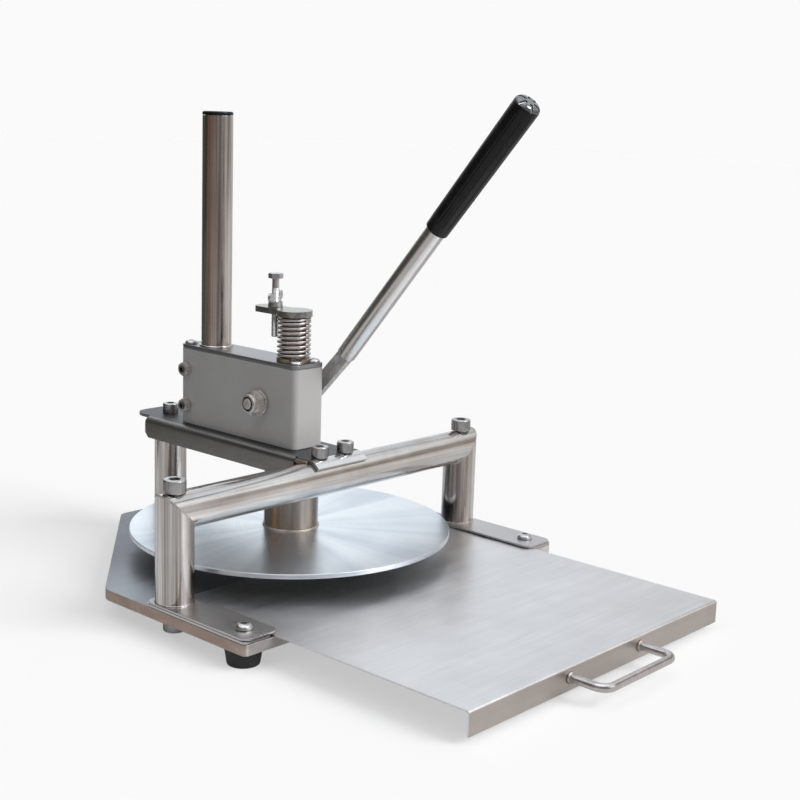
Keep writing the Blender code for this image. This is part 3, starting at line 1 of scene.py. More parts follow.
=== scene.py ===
"""Looks of the pizza dough press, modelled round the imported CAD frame.

Each piece starts as plain stock (a bar, a sheet, a ring), is shaped with Blender's own tools, gets
its finish and rides on the body that carries it. Metres, +Z up, -Y to the front; the ram's axis
stands on the origin.
"""

import json
import math
from contextlib import contextmanager

import bmesh
import bpy
from mathutils import Matrix, Vector

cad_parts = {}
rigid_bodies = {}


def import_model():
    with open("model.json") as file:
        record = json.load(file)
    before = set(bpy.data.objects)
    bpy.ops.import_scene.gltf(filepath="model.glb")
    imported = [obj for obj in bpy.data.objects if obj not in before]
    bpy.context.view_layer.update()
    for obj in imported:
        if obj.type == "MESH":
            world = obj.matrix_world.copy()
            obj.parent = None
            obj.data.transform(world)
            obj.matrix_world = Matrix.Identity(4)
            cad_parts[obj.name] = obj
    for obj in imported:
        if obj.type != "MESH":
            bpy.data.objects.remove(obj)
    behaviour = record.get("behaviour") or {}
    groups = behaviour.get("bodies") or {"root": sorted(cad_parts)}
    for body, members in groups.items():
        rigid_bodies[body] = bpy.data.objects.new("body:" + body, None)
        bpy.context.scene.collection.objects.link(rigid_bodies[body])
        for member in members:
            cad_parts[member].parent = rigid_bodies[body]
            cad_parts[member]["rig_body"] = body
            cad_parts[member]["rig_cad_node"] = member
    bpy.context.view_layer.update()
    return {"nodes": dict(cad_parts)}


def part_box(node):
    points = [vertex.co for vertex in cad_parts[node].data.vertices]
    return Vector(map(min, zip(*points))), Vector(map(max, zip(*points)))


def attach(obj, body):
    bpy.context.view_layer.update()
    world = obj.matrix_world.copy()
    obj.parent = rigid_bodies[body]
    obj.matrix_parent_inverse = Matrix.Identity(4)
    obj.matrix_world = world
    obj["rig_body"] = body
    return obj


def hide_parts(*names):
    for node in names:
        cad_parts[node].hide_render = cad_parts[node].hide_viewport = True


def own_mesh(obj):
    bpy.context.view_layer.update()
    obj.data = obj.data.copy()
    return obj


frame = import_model()

MM = 0.001
X, Y, Z = Vector((1, 0, 0)), Vector((0, 1, 0)), Vector((0, 0, 1))
SIDES = (("left", -1), ("right", 1))
HEX_SHARE = math.cos(math.radians(30))  # half width across flats over half across corners
LEVER_ANGLE = math.radians(49.5)  # the raised lever, above the horizontal

# Camera, solved from the photograph
CAMERA_PLACE = Vector((-0.7313, -0.7719, 0.3560))
CAMERA_HEADING = math.radians(47.92)
CAMERA_PITCH = math.radians(-11.41)
CAMERA_ROLL = math.radians(1.90)
CAMERA_LENS = 62.93
CAMERA_SENSOR = 36.0


# Shaping tools


def clear_bench():
    """Object mode, with nothing selected."""
    if bpy.context.mode != "OBJECT":
        bpy.ops.object.mode_set(mode="OBJECT")
    bpy.ops.object.select_all(action="DESELECT")


def take(piece):
    """Makes one piece the selected and active one."""
    clear_bench()
    piece.select_set(True)
    bpy.context.view_layer.objects.active = piece


def named(name):
    """The new primitive under its name, with its place and turn moved into its mesh."""
    piece = bpy.context.object
    piece.name = name
    piece.data.name = name
    bpy.ops.object.transform_apply(location=True, rotation=True, scale=True)
    return piece


def bar_stock(name, radius, start, end, sides=96):
    """Round bar between two points."""
    clear_bench()
    start, end = Vector(start), Vector(end)
    way = end - start
    bpy.ops.mesh.primitive_cylinder_add(
        vertices=sides,
        radius=radius,
        depth=way.length,
        location=(start + end) / 2,
        rotation=way.to_track_quat("Z", "Y").to_euler(),
    )
    return named(name)


def pillar(name, radius, low, high, at=(0, 0), sides=96):
    """Upright round bar."""
    return bar_stock(name, radius, (*at, low), (*at, high), sides)


def level_bar(name, radius, left, right, spot, sides=48):
    """Round bar along X, at the height and depth of a spot."""
    return bar_stock(name, radius, (left, spot.y, spot.z), (right, spot.y, spot.z), sides)


def block_stock(name, low, high):
    clear_bench()
    low, high = Vector(low), Vector(high)
    bpy.ops.mesh.primitive_cube_add(size=1, location=(low + high) / 2, scale=high - low)
    return named(name)


@contextmanager
def shaping(piece, kind="FACE"):
    """Edit mode on one piece, with nothing selected."""
    take(piece)
    bpy.ops.object.mode_set(mode="EDIT")
    bpy.ops.mesh.select_mode(type=kind)
    bpy.ops.mesh.select_all(action="DESELECT")
    yield piece
    bpy.ops.object.mode_set(mode="OBJECT")


def pick(parts, test):
    """Selects, in edit mode, just the faces, edges or verts that pass a test."""
    bpy.ops.mesh.select_all(action="DESELECT")
    mesh = bmesh.from_edit_mesh(bpy.context.object.data)
    mesh.normal_update()
    for item in getattr(mesh, parts):
        if test(item):
            item.select_set(True)
    mesh.select_flush_mode()
    bmesh.update_edit_mesh(bpy.context.object.data)


def middle(item):
    return sum((corner.co for corner in item.verts), Vector()) / len(item.verts)


def looking(way):
    """Test for faces that look a given way."""
    return lambda face: face.normal.dot(way) > 0.99


def at_level(value, axis=2, within=0.02 * MM):
    """Test for edges or faces whose points all lie at one place along an axis."""
    return lambda item: all(abs(corner.co[axis] - value) < within for corner in item.verts)


def upright(edge):
    way = edge.verts[1].co - edge.verts[0].co
    return abs(way.z) > 0.99 * way.length


def bevel(width, steps=2):
    bpy.ops.mesh.bevel(offset=width, offset_type="OFFSET", segments=steps, affect="EDGES")


def draw_out(way):
    bpy.ops.mesh.extrude_region_move(TRANSFORM_OT_translate={"value": tuple(way)})


def resize(scale, centre):
    bpy.ops.transform.resize(value=scale, center_override=tuple(centre))


def slice_off(point, way):
    """Cuts the selected body on a plane, drops the side that the way points to, and closes it."""
    bpy.ops.mesh.select_all(action="SELECT")
    bpy.ops.mesh.bisect(plane_co=point, plane_no=way, use_fill=True, clear_outer=True)


def round_rim(piece, level, width, steps, axis=2):
    """Rounds the edges that lie at one place along an axis."""
    with shaping(piece, "EDGE"):
        pick("edges", at_level(level, axis))
        bevel(width, steps)


def round_corners(piece, width, steps):
    """Rounds the upright edges."""
    with shaping(piece, "EDGE"):
        pick("edges", upright)
        bevel(width, steps)


def step_out(piece, way, inset, length):
    """Insets the face that looks a given way, and draws what is left of it along Z."""
    with shaping(piece):
        pick("faces", looking(way))
        bpy.ops.mesh.inset(thickness=inset)
        draw_out((0, 0, length))


def apply(piece, kind, **settings):
    """Adds a modifier with its settings and applies it."""
    take(piece)
    modifier = piece.modifiers.new("work", kind)
    for key, value in settings.items():
        setattr(modifier, key, value)
    bpy.ops.object.modifier_apply(modifier=modifier.name)
    return piece


def ease(piece, width, steps=2, angle=40):
    """Breaks the sharp edges."""
    limit = math.radians(angle)
    return apply(piece, "BEVEL", width=width, segments=steps, limit_method="ANGLE", angle_limit=limit)


def cut(piece, *tools, operation="DIFFERENCE"):
    for tool in tools:
        apply(piece, "BOOLEAN", object=tool, operation=operation, solver="EXACT")
        bpy.data.objects.remove(tool)
    return piece


def merge(piece, *others):
    """Joins pieces into one object, each keeping its own closed shell."""
    take(piece)
    for other in others:
        other.select_set(True)
    bpy.ops.object.join()
    return piece


def moved(piece, matrix):
    piece.data.transform(matrix)
    return piece


def copied(piece, name):
    """A copy with its own mesh and name."""
    take(piece)
    bpy.ops.object.duplicate(linked=False)
    twin = bpy.context.object
    twin.name = name
    twin.data.name = name
    return twin


def another(piece, name, matrix):
    """A copy, moved to its place."""
    return moved(copied(piece, name), matrix)


def from_frame(node, name):
    """A working copy of a CAD node, its loose triangles sewn together and its flat faces made whole."""
    twin = copied(frame["nodes"][node], name)
    twin.parent = None
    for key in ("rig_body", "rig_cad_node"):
        del twin[key]
    with shaping(twin, "VERT"):
        bpy.ops.mesh.select_all(action="SELECT")
        bpy.ops.mesh.remove_doubles(threshold=0.005 * MM)
        bpy.ops.mesh.dissolve_limited(angle_limit=math.radians(1))
    return twin


def finished(piece, body, finish, *nodes, smooth=35):
    """Shades a piece, coats it, sets it on its body and hides the CAD nodes it stands for."""
    take(piece)
    bpy.ops.object.shade_smooth_by_angle(angle=math.radians(smooth))
    apply(piece, "WEIGHTED_NORMAL", keep_sharp=True, weight=80)
    coats = finish if isinstance(finish, list) else [finish]
    if len(coats) == 1:
        piece.data.materials.clear()
    for index, coat in enumerate(coats):
        if len(piece.data.materials) > index:
            piece.data.materials[index] = coat.material
        else:
            piece.data.materials.append(coat.material)
    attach(piece, body)
    if nodes:
        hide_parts(*nodes)
    return piece


def coat_faces(piece, index, test):
    """Gives the faces that pass a test the finish with that number."""
    while len(piece.data.materials) <= index:
        piece.data.materials.append(None)
    for face in piece.data.polygons:
        if test(face):
            face.material_index = index


# Finishes


class Field:
    """A value that changes over a surface: Python's operators add the Math nodes."""

    def __init__(self, tree, socket):
        self.tree = tree
        self.socket = socket

    def math(self, operation, first, second=None, clamp=False):
        node = self.tree.nodes.new("ShaderNodeMath")
        node.operation = operation
        node.use_clamp = clamp
        plug(self.tree, node.inputs[0], first)
        plug(self.tree, node.inputs[1], second)
        return Field(self.tree, node.outputs[0])

    def __add__(self, other):
        return self.math("ADD", self, other)

    def __radd__(self, other):
        return self.math("ADD", other, self)

    def __sub__(self, other):
        return self.math("SUBTRACT", self, other)

    def __rsub__(self, other):
        return self.math("SUBTRACT", other, self)

    def __mul__(self, other):
        return self.math("MULTIPLY", self, other)

    def __truediv__(self, other):
        return self.math("DIVIDE", self, other)

    def clamped(self):
        return self.math("ADD", self, 0.0, clamp=True)

    def above(self, low, high):
        """0 below the low value, 1 above the high one."""
        return ((self - low) * (1 / (high - low))).clamped()


def plug(tree, target, value):
    """Links a changing value to a socket, or writes a constant on it."""
    if isinstance(value, Field):
        tree.links.new(value.socket, target)
    elif value is not None:
        target.default_value = value


def mix_colour(tree, mask, first, second):
    """Colour that goes from the first to the second as the mask goes from 0 to 1."""
    node = tree.nodes.new("ShaderNodeMix")
    node.data_type = "RGBA"
    for index, value in ((0, mask), (6, first), (7, second)):
        plug(tree, node.inputs[index], value if isinstance(value, Field) else (*value, 1.0))
    return Field(tree, node.outputs[2])


class Finish:
    """A material of one Principled shader, and the record's slot that it belongs to."""

    def __init__(self, name, slot, colour, roughness, metallic=0.0, **constants):
        self.slot = slot
        self.material = bpy.data.materials.new(name)
        self.material.use_nodes = True
        self.tree = self.material.node_tree
        self.shader = self.tree.nodes["Principled BSDF"]
        self.feed("Base Color", (*colour, 1.0))
        self.feed("Roughness", roughness)
        self.feed("Metallic", metallic)
        for key, value in constants.items():
            self.feed(key.replace("_", " ").title().replace("Ior", "IOR"), value)

    def feed(self, socket, value):
        plug(self.tree, self.shader.inputs[socket], value)

    def dressed(self, colour, roughness, height, depth):
        """Feeds the colour, the roughness and the bump of a height, and gives back the finish."""
        self.feed("Base Color", colour)
        self.feed("Roughness", roughness)
        inputs = {"Height": height, "Distance": depth, "Strength": 1.0}
        self.feed("Normal", self.node("Bump", inputs=inputs))
        return self

    def node(self, kind, settings=None, inputs=None, output=0):
        """Any node: its settings first, then the values and links of its sockets."""
        made = self.tree.nodes.new("ShaderNode" + kind)
        for key, value in (settings or {}).items():
            setattr(made, key, value)
        for key, value in (inputs or {}).items():
            plug(self.tree, made.inputs[key], value)
        return Field(self.tree, made.outputs[output])

    def place(self, scale=(1, 1, 1), centre=(0, 0, 0), turn=(0, 0, 0)):
        """Object coordinates, moved to a centre, turned and scaled."""
        raw = self.node("TexCoord", output=3)
        shift = [-value for value in centre]
        turned = self.node("Mapping", inputs={"Vector": raw, "Location": shift})
        turned = self.node("Mapping", inputs={"Vector": turned, "Rotation": turn})
        return self.node("Mapping", inputs={"Vector": turned, "Scale": scale})

    def noise(self, scale, detail=3.0, turn=(0, 0, 0)):
        """Noise from 0 to 1; the scale, per metre, is one number or one for each axis."""
        scale = (scale,) * 3 if isinstance(scale, float) else scale
        inputs = {"Vector": self.place(scale, turn=turn), "Scale": 1.0, "Detail": detail, "Roughness": 0.55}
        return self.node("TexNoise", inputs=inputs)

    def noise_over(self, value, scale, detail):
        """Noise from 0 to 1 that changes with one value alone."""
        inputs = {"W": value, "Scale": scale, "Detail": detail}
        return self.node("TexNoise", {"noise_dimensions": "1D"}, inputs)

    def along(self, axis, centre=(0, 0, 0)):
        """One coordinate of the piece, in metres."""
        spot = self.place(centre=centre)
        return self.node("SeparateXYZ", inputs={"Vector": spot}, output="xyz".index(axis))

    def bearing(self):
        """Angle round the upright axis, in radians."""
        side = self.along("x")
        return side.math("ARCTAN2", self.along("y"), side)

    def blend(self, mask, first, second):
        return mix_colour(self.tree, mask, first, second)

    def varied(self, mask, colour, reach):
        """One colour that goes from darker to lighter by a share."""
        return self.blend(mask, shade(colour, 1 - reach), shade(colour, 1 + reach))

    def ramp(self, mask, stops):
        """Colour read from a row of stops."""
        made = self.tree.nodes.new("ShaderNodeValToRGB")
        elements = made.color_ramp.elements
        while len(elements) < len(stops):
            elements.new(1.0)
        for element, (place, colour) in zip(elements, stops):
            element.position = place
            element.color = (*colour, 1.0)
        plug(self.tree, made.inputs["Fac"], mask)
        return Field(self.tree, made.outputs[0])


def shade(colour, factor):
    return tuple(min(1.0, value * factor) for value in colour)


def brushing(finish, fine_scale, broad_scale, reach=0.2, turn=(0, 0, 0)):
    """Brushed lines with handling marks: mask of the colour, change of the roughness, and height."""
    fine = finish.noise(fine_scale, detail=2.0, turn=turn)
    broad = finish.noise(broad_scale, detail=2.0, turn=turn)
    marks = finish.noise(26.0, detail=4.0)
    tone = (fine * 0.35 + broad * 0.25 + marks * 0.4).above(0.5 - reach, 0.5 + reach)
    return tone, (broad - 0.5) * 0.12 + (marks - 0.5) * 0.14, fine * 0.7 + broad * 0.3


def drawn_steel(name, slot, colour, roughness, way, lines=900.0, cloud=0.10, turn=(0, 0, 0), stain=None):
    """Bare steel whose brushing or polishing lines run along one axis."""
    finish = Finish(name, slot, colour, roughness, metallic=1.0)
    fine_scale = [lines] * 3
    fine_scale["xyz".index(way)] = lines / 45
    broad_scale = [value / 5 for value in fine_scale]
    tone, change, height = brushing(finish, fine_scale, broad_scale, 0.12 if stain else 0.2, turn)
    steel = finish.blend(tone, stain or shade(colour, 1 - cloud), shade(colour, 1 + cloud))
    return finish.dressed(steel, roughness + change, height, 0.012 * MM)


def base_steel():
    """Brushed plate, darkened towards its rear by painted shade."""
    colour = (0.40, 0.42, 0.45)
    finish = Finish("base_brushed_steel", "brushed_steel", colour, 0.42, metallic=1.0)
    tone, change, height = brushing(finish, (18.0, 800.0, 800.0), (3.5, 160.0, 160.0))
    # Painted shade: the plate's colour darkens towards its rear.
    dull = finish.along("y").above(0.0, 0.07)
    steel = finish.blend(dull * 0.8, finish.varied(tone, colour, 0.12), (0.15, 0.155, 0.18))
    return finish.dressed(steel, 0.42 + change, height, 0.012 * MM)


def turned_steel(name, slot, colour, roughness, lines=1100.0, depth=0.01 * MM, sheen=None):
    """Steel faced on a lathe: fine rings round an upright axis, and soft rays of a painted reflection in
    another colour.
    """
    finish = Finish(name, slot, colour, roughness, metallic=1.0)
    flat = finish.node("VectorMath", {"operation": "MULTIPLY"}, {0: finish.place(), 1: (1, 1, 0)})
    reach = finish.node("VectorMath", {"operation": "LENGTH"}, {0: flat}, output=1)
    rings = finish.noise_over(reach, lines, 2.0)
    bands = finish.noise_over(reach, lines / 7, 3.0)
    marks = finish.noise(22.0, detail=4.0)
    steel = finish.varied((rings * 0.3 + bands * 0.3 + marks * 0.4).above(0.3, 0.7), colour, 0.08)
    if sheen:
        # Painted reflection: soft rays round the axis blend in the sheen colour.
        rays = finish.noise_over(finish.bearing(), 2.4, 3.0)
        steel = finish.blend((rays * 0.7 + marks * 0.3).above(0.42, 0.62), steel, sheen)
    rough = roughness + (bands - 0.5) * 0.10 + (marks - 0.5) * 0.12
    return finish.dressed(steel, rough, rings * 0.7 + bands * 0.3, depth)


def plain_steel(name, slot, colour, roughness, grain=900.0, cloud=0.12, metallic=1.0):
    """Small steel parts: a fine even grain with faint stains."""
    finish = Finish(name, slot, colour, roughness, metallic=metallic)
    marks = finish.noise(140.0)
    steel = finish.varied(marks.above(0.3, 0.7), colour, cloud)
    return finish.dressed(steel, roughness + (marks - 0.5) * 0.2, finish.noise(grain), 0.01 * MM)


def streaked_steel(name, slot, roughness):
    """Polished upright tube with the fine brown and bright streaks of its drawing."""
    finish = Finish(name, slot, (0.62, 0.60, 0.585), roughness, metallic=1.0)
    fine = finish.noise((620.0, 620.0, 5.0), detail=2.0)
    broad = finish.noise((210.0, 210.0, 3.0), detail=2.0)
    marks = finish.noise((40.0, 40.0, 26.0))
    tone = (fine * 0.4 + broad * 0.5 + marks * 0.1).above(0.34, 0.66)
    stops = (
        (0.12, (0.30, 0.225, 0.185)),
        (0.42, (0.46, 0.42, 0.395)),
        (0.62, (0.56, 0.535, 0.52)),
        (0.88, (0.74, 0.72, 0.705)),
    )
    rough = roughness + (broad - 0.5) * 0.14
    return finish.dressed(finish.ramp(tone, stops), rough, fine * 0.6 + broad * 0.4, 0.012 * MM)


def cut_edge_steel():
    """Laser-cut edges of the base plate: upright striations and a brownish skin; the front edge painted paler
    than the side edges, as painted light.
    """
    finish = Finish("base_cut_edge", "brushed_steel", (0.40, 0.355, 0.325), 0.46, metallic=1.0)
    ribs = finish.noise((1500.0, 1500.0, 60.0), detail=2.0)
    skin = finish.noise((35.0, 35.0, 180.0), detail=4.0)
    tone = (ribs * 0.25 + skin * 0.75).above(0.3, 0.7)
    # Painted light and shade: the front edge paler, the side edges darker and browner.
    side = finish.along("y").above(-0.1332, -0.1325)
    painted_lit_front_tone = finish.blend(tone, (0.54, 0.51, 0.49), (0.84, 0.80, 0.78))
    painted_shade_side_tone = finish.blend(tone, (0.38, 0.29, 0.245), (0.60, 0.495, 0.44))
    return finish.dressed(finish.blend(side, painted_lit_front_tone, painted_shade_side_tone), 0.40 + skin * 0.16, ribs, 0.03 * MM)


def housing_paint():
    """Smooth grey paint with a faint orange peel and a slightly worn sheen."""
    colour = (0.435, 0.43, 0.425)
    finish = Finish("housing_grey_paint", "grey_paint", colour, 0.38, coat_weight=0.15, coat_roughness=0.25)
    cloud = finish.noise(30.0)
    specks = finish.noise(1500.0, detail=1.0).above(0.72, 0.80)
    tone = finish.varied(cloud.above(0.3, 0.7), colour, 0.04)
    paint = finish.blend(specks * 0.25, tone, shade(colour, 0.7))
    return finish.dressed(paint, 0.36 + (cloud - 0.5) * 0.10, finish.noise(650.0, detail=1.0), 0.012 * MM)


def foot_rubber():
    """Dusty black rubber."""
    colour = (0.018, 0.018, 0.019)
    finish = Finish("foot_rubber", "black_rubber", colour, 0.62)
    dust = finish.noise((90.0, 90.0, 260.0), detail=4.0).above(0.5, 0.75)
    rubber = finish.blend(dust * 0.5, colour, (0.075, 0.072, 0.07))
    return finish.dressed(rubber, 0.52 + dust * 0.25, finish.noise(1400.0, detail=2.0), 0.03 * MM)


def grip_plastic():
    """Black plastic, rubbed dull in places."""
    colour = (0.008, 0.0075, 0.008)
    finish = Finish("grip_black_plastic", "black_plastic", colour, 0.24, specular_ior_level=0.25)
    rubbed = finish.noise(60.0, detail=4.0).above(0.45, 0.7)
    plastic = finish.blend(rubbed * 0.4, colour, (0.022, 0.021, 0.023))
    return finish.dressed(plastic, 0.22 + rubbed * 0.18, finish.noise(900.0, detail=2.0), 0.012 * MM)


def grip_end():
    """The grip's moulded end, glossier than its side."""
    colour = (0.014, 0.014, 0.015)
    coat = {"coat_weight": 1.0, "coat_roughness": 0.05, "coat_ior": 2.6}
    finish = Finish("grip_glossy_end", "black_plastic", colour, 0.15, **coat)
    rubbed = finish.noise(260.0, detail=2.0).above(0.4, 0.6)
    finish.feed("Base Color", finish.blend(rubbed, colour, (0.05, 0.05, 0.052)))
    finish.feed("Coat Weight", 1 - rubbed * 0.6)
    return finish


def weld_steel():
    """Ground weld at the portal's corners: straw and brown heat tint across the seam."""
    finish = Finish("ground_weld", "polished_steel", (0.55, 0.50, 0.44), 0.34, metallic=1.0)
    heat = finish.noise(240.0)
    stops = ((0.25, (0.62, 0.61, 0.60)), (0.5, (0.52, 0.475, 0.43)), (0.72, (0.38, 0.33, 0.30)))
    grain = finish.noise(1600.0, detail=2.0)
    return finish.dressed(finish.ramp(heat, stops), 0.30 + heat * 0.2, grain, 0.02 * MM)


def hub_steel():
    """Turned collar with the straw tint that its welding left, strongest near the disc, and a painted orange
    reflection in one narrow upright stripe.
    """
    finish = Finish("hub_turned_steel", "turned_steel", (0.56, 0.52, 0.47), 0.24, metallic=1.0)
    rings = finish.noise((12.0, 12.0, 1300.0), detail=2.0)
    low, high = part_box("ram_hub")
    height = (finish.along("z", centre=(0, 0, low.z)) / (high.z - low.z)).clamped()
    cloud = finish.noise(60.0)
    streaks = finish.noise((260.0, 260.0, 9.0)).above(0.38, 0.62)
    heat = (1 - height * 2.2 + (cloud - 0.5) * 0.5).clamped()
    tone = finish.blend(heat, (0.42, 0.395, 0.375), (0.42, 0.345, 0.27))
    tone = finish.blend(streaks * 0.6, tone, (0.24, 0.20, 0.175))
    # Painted reflection: a narrow orange upright stripe at one bearing round the collar.
    turn = finish.bearing()
    tint = (1 - turn.math("ABSOLUTE", turn + math.radians(170)) / math.radians(9)).clamped()
    tone = finish.blend(tint * 0.8, tone, (0.86, 0.52, 0.26))
    steel = finish.blend(rings * 0.3, tone, (0.36, 0.335, 0.31))
    return finish.dressed(steel, 0.20 + cloud * 0.12, rings, 0.01 * MM)


def bush_bronze():
    """Dull turned bronze."""
    finish = Finish("bush_bronze", "bronze", (0.34, 0.285, 0.225), 0.34, metallic=1.0)
    cloud = finish.noise(180.0, detail=4.0)
    bronze = finish.blend(cloud.above(0.3, 0.7), (0.25, 0.22, 0.18), (0.42, 0.37, 0.30))
    rings = finish.noise((20.0, 20.0, 2200.0), detail=1.0)
    return finish.dressed(bronze, 0.28 + cloud * 0.2, rings, 0.012 * MM)


def make_finishes():
    brushed, polished, zinc = "brushed_steel", "polished_steel", "zinc_steel"
    # The disc's colour for its painted reflection rays.
    crossbar_stain, disc_painted_reflection = (0.54, 0.51, 0.485), (0.66, 0.72, 0.79)
    return {
        "base": base_steel(),
        "edge": cut_edge_steel(),
        "guide": drawn_steel("guide_brushed_steel", brushed, (0.60, 0.58, 0.58), 0.30, "y"),
        "tray": drawn_steel("tray_brushed_steel", brushed, (0.82, 0.82, 0.83), 0.33, "x", lines=1500.0),
        "post": streaked_steel("post_polished_tube", polished, 0.18),
        "crossbar": drawn_steel(
            "crossbar_polished_tube", polished, (0.69, 0.68, 0.67), 0.15, "x",
            lines=600.0, stain=crossbar_stain,
        ),
        "bridge": drawn_steel("bridge_folded_steel", brushed, (0.26, 0.255, 0.24), 0.38, "y", cloud=0.2),
        # Painted shade: the bridge's upward faces, far darker than the rest of the same sheet.
        "bridge_top": drawn_steel("bridge_painted_shade_top", brushed, (0.09, 0.092, 0.102), 0.42, "y"),
        # The bridge's lip: polished, and painted much lighter than the rest of the sheet as a painted
        # highlight.
        "lip": drawn_steel("bridge_polished_lip_painted_highlight", polished, (0.80, 0.79, 0.78), 0.20, "x"),
        "cover": drawn_steel("cover_brushed_steel", brushed, (0.315, 0.325, 0.335), 0.34, "y"),
        "lever": drawn_steel(
            "lever_drawn_steel", polished, (0.58, 0.56, 0.54), 0.24, "y", lines=700.0, turn=(LEVER_ANGLE, 0, 0)
        ),
        "disc": turned_steel(
            "disc_faced_steel", brushed, (0.86, 0.91, 0.97), 0.31,
            lines=2600.0, depth=0.004 * MM, sheen=disc_painted_reflection,
        ),
        # Painted shade: a dark underside for the disc, standing in for the shade beneath it.
        "under": plain_steel("disc_underside_painted_shade", brushed, (0.20, 0.20, 0.20), 0.5),
        "bar": plain_steel("lever_bar_steel", brushed, (0.62, 0.60, 0.585), 0.26, grain=500.0, metallic=0.55),
        # Painted shade: the tray's folded front, darker and browner than the top of the same sheet.
        "flange": drawn_steel("tray_flange_painted_shade", brushed, (0.56, 0.51, 0.475), 0.36, "x", lines=1500.0),
        "ram": turned_steel("ram_ground_steel", polished, (0.36, 0.28, 0.25), 0.16),
        "cap_plate": plain_steel("cap_plate_steel", brushed, (0.36, 0.36, 0.34), 0.26, cloud=0.25),
        "screw": plain_steel("screw_bright_steel", zinc, (0.60, 0.60, 0.60), 0.24),
        "nut": plain_steel("lock_nut_steel", zinc, (0.62, 0.59, 0.56), 0.28, metallic=0.6),
        "socket": plain_steel("socket_screw_steel", zinc, (0.50, 0.50, 0.495), 0.27),
        "stud": plain_steel("set_screw_dark_steel", zinc, (0.16, 0.155, 0.15), 0.34),
        "hidden": plain_steel("inner_machined_steel", "turned_steel", (0.45, 0.44, 0.42), 0.4),
        "spring": plain_steel("spring_wire_steel", "spring_steel", (0.50, 0.475, 0.45), 0.22, grain=1500.0),
        "handle": plain_steel("handle_polished_rod", polished, (0.62, 0.60, 0.60), 0.17, grain=700.0),
        "paint": housing_paint(),
        "rubber": foot_rubber(),
        "grip": grip_plastic(),
        "grip_end": grip_end(),
        "weld": weld_steel(),
        "tint": plain_steel("brown_weld_steel", brushed, (0.30, 0.225, 0.19), 0.34, metallic=0.7),
        "hub": hub_steel(),
        "bronze": bush_bronze(),
    }


finishes = make_finishes()

# The studio: a plain level of light, at which a colour renders about as it is written
BACKDROP = 0.955
WORLD_LIGHT = (0.348, 0.342, 0.338)
WORLD_MIRRORED = (0.86, 0.90, 0.95)
FLOOR_TONE = 0.50
FLOOR_GLOW = 0.467
FLOOR_MIRRORED = 0.15
LAMPS = (
    ("key_light", 292, 36, 2.62, 36, (0.99, 0.985, 0.99)),
    ("top_light", 200, 78, 0.5, 60, (0.93, 0.97, 1.0)),
)
RING_RADIUS = 0.8
RING_HEIGHT = 0.75
RING_TONES = (
    (0, (0.66, 0.66, 0.67)),
    (25, (0.74, 0.77, 0.81)),
    (45, (1.0, 1.04, 1.07)),
    (68, (1.08, 1.13, 1.18)),
    (82, (0.10, 0.10, 0.09)),
    (140, (0.06, 0.055, 0.045)),
    (152, (0.16, 0.10, 0.08)),
    (175, (0.19, 0.125, 0.10)),
    (188, (0.28, 0.21, 0.17)),
    (215, (0.30, 0.28, 0.28)),
    (260, (0.28, 0.27, 0.28)),
    (275, (0.56, 0.54, 0.55)),
    (300, (0.58, 0.55, 0.55)),
    (308, (0.76, 0.71, 0.675)),
    (338, (0.66, 0.63, 0.61)),
    (345, (0.62, 0.60, 0.58)),
)
RING_FRONT_MIDDLE = (0.31, 0.275, 0.25)
RING_FRONT_TOP = (0.92, 0.93, 0.93)
FLAGS = (
    ("flag_overhead", (0.42, 0.07, 0.60), (0, 0, -1), (0.70, 0.035), (0.20, 0.20, 0.20)),
    ("flag_behind_left", (-0.44, 0.37, 0.11), (0, -1, 0), (0.64, 0.24), (0.12, 0.118, 0.105)),
)


# Fasteners, modelled standing on the origin and then copied to their places


def hex_socket(piece, half, top, depth):
    """Sinks a hexagon socket into the top of a screw."""
    return cut(piece, pillar("socket_tool", half / HEX_SHARE, top - depth, top + 1 * MM, sides=6))


def cap_screw(name, radius, height, socket_half, shank, grip):
    """Socket cap screw with a knurled head."""
    ribs, base_band, rim = 40, 0.5 * MM, 0.9 * MM
    screw = pillar(name, radius, 0, height, sides=ribs * 2)
    step_out(screw, -Z, radius - shank, -grip)
    with shaping(screw, "EDGE"):
        pick("edges", at_level(height))
        bevel(rim, 3)
        bpy.ops.mesh.select_all(action="SELECT")
        bpy.ops.mesh.bisect(plane_co=(0, 0, base_band), plane_no=(0, 0, 1))
    ring = math.tau / (ribs * 2)

    def groove(face):
        spot = middle(face)
        on_side = abs(face.normal.z) < 0.1 and math.hypot(spot.x, spot.y) > 0.9 * radius
        tall = base_band < spot.z < height - rim
        return on_side and tall and round(math.atan2(spot.y, spot.x) / ring - 0.5) % 2 == 0

    with shaping(screw):
        pick("faces", groove)
        bpy.ops.mesh.inset(thickness=0.03 * MM, depth=-0.42 * MM, use_individual=True)
    return hex_socket(screw, socket_half, height, height / 2)


def button_screw(name, radius, height, socket_half, shank, grip):
    """Screw with a low domed head."""
    screw = pillar(name, radius, 0, height, sides=48)
    step_out(screw, -Z, radius - shank, -grip)
    round_rim(screw, height, height * 0.96, 8)
    return hex_socket(screw, socket_half, height, height / 2)


def thread(name, radius, pitch, start, turns):
    """A helical ridge round Z, made by the Screw modifier from a small triangle."""
    clear_bench()
    place, upright_turn = (radius - pitch * 0.25, 0, start), (math.pi / 2, 0, 0)
    bpy.ops.mesh.primitive_circle_add(vertices=3, radius=pitch * 0.42, location=place, rotation=upright_turn)
    ridge = wound(named(name), pitch, turns, 24, merged=True)
    close_ends(ridge, "FACE")
    return ridge


def wound(profile, rise, turns, steps, merged):
    """Winds a profile round Z, with a rise for each turn."""
    settings = {"screw_offset": rise, "iterations": turns, "steps": steps, "render_steps": steps}
    return apply(profile, "SCREW", axis="Z", use_merge_vertices=merged, **settings)


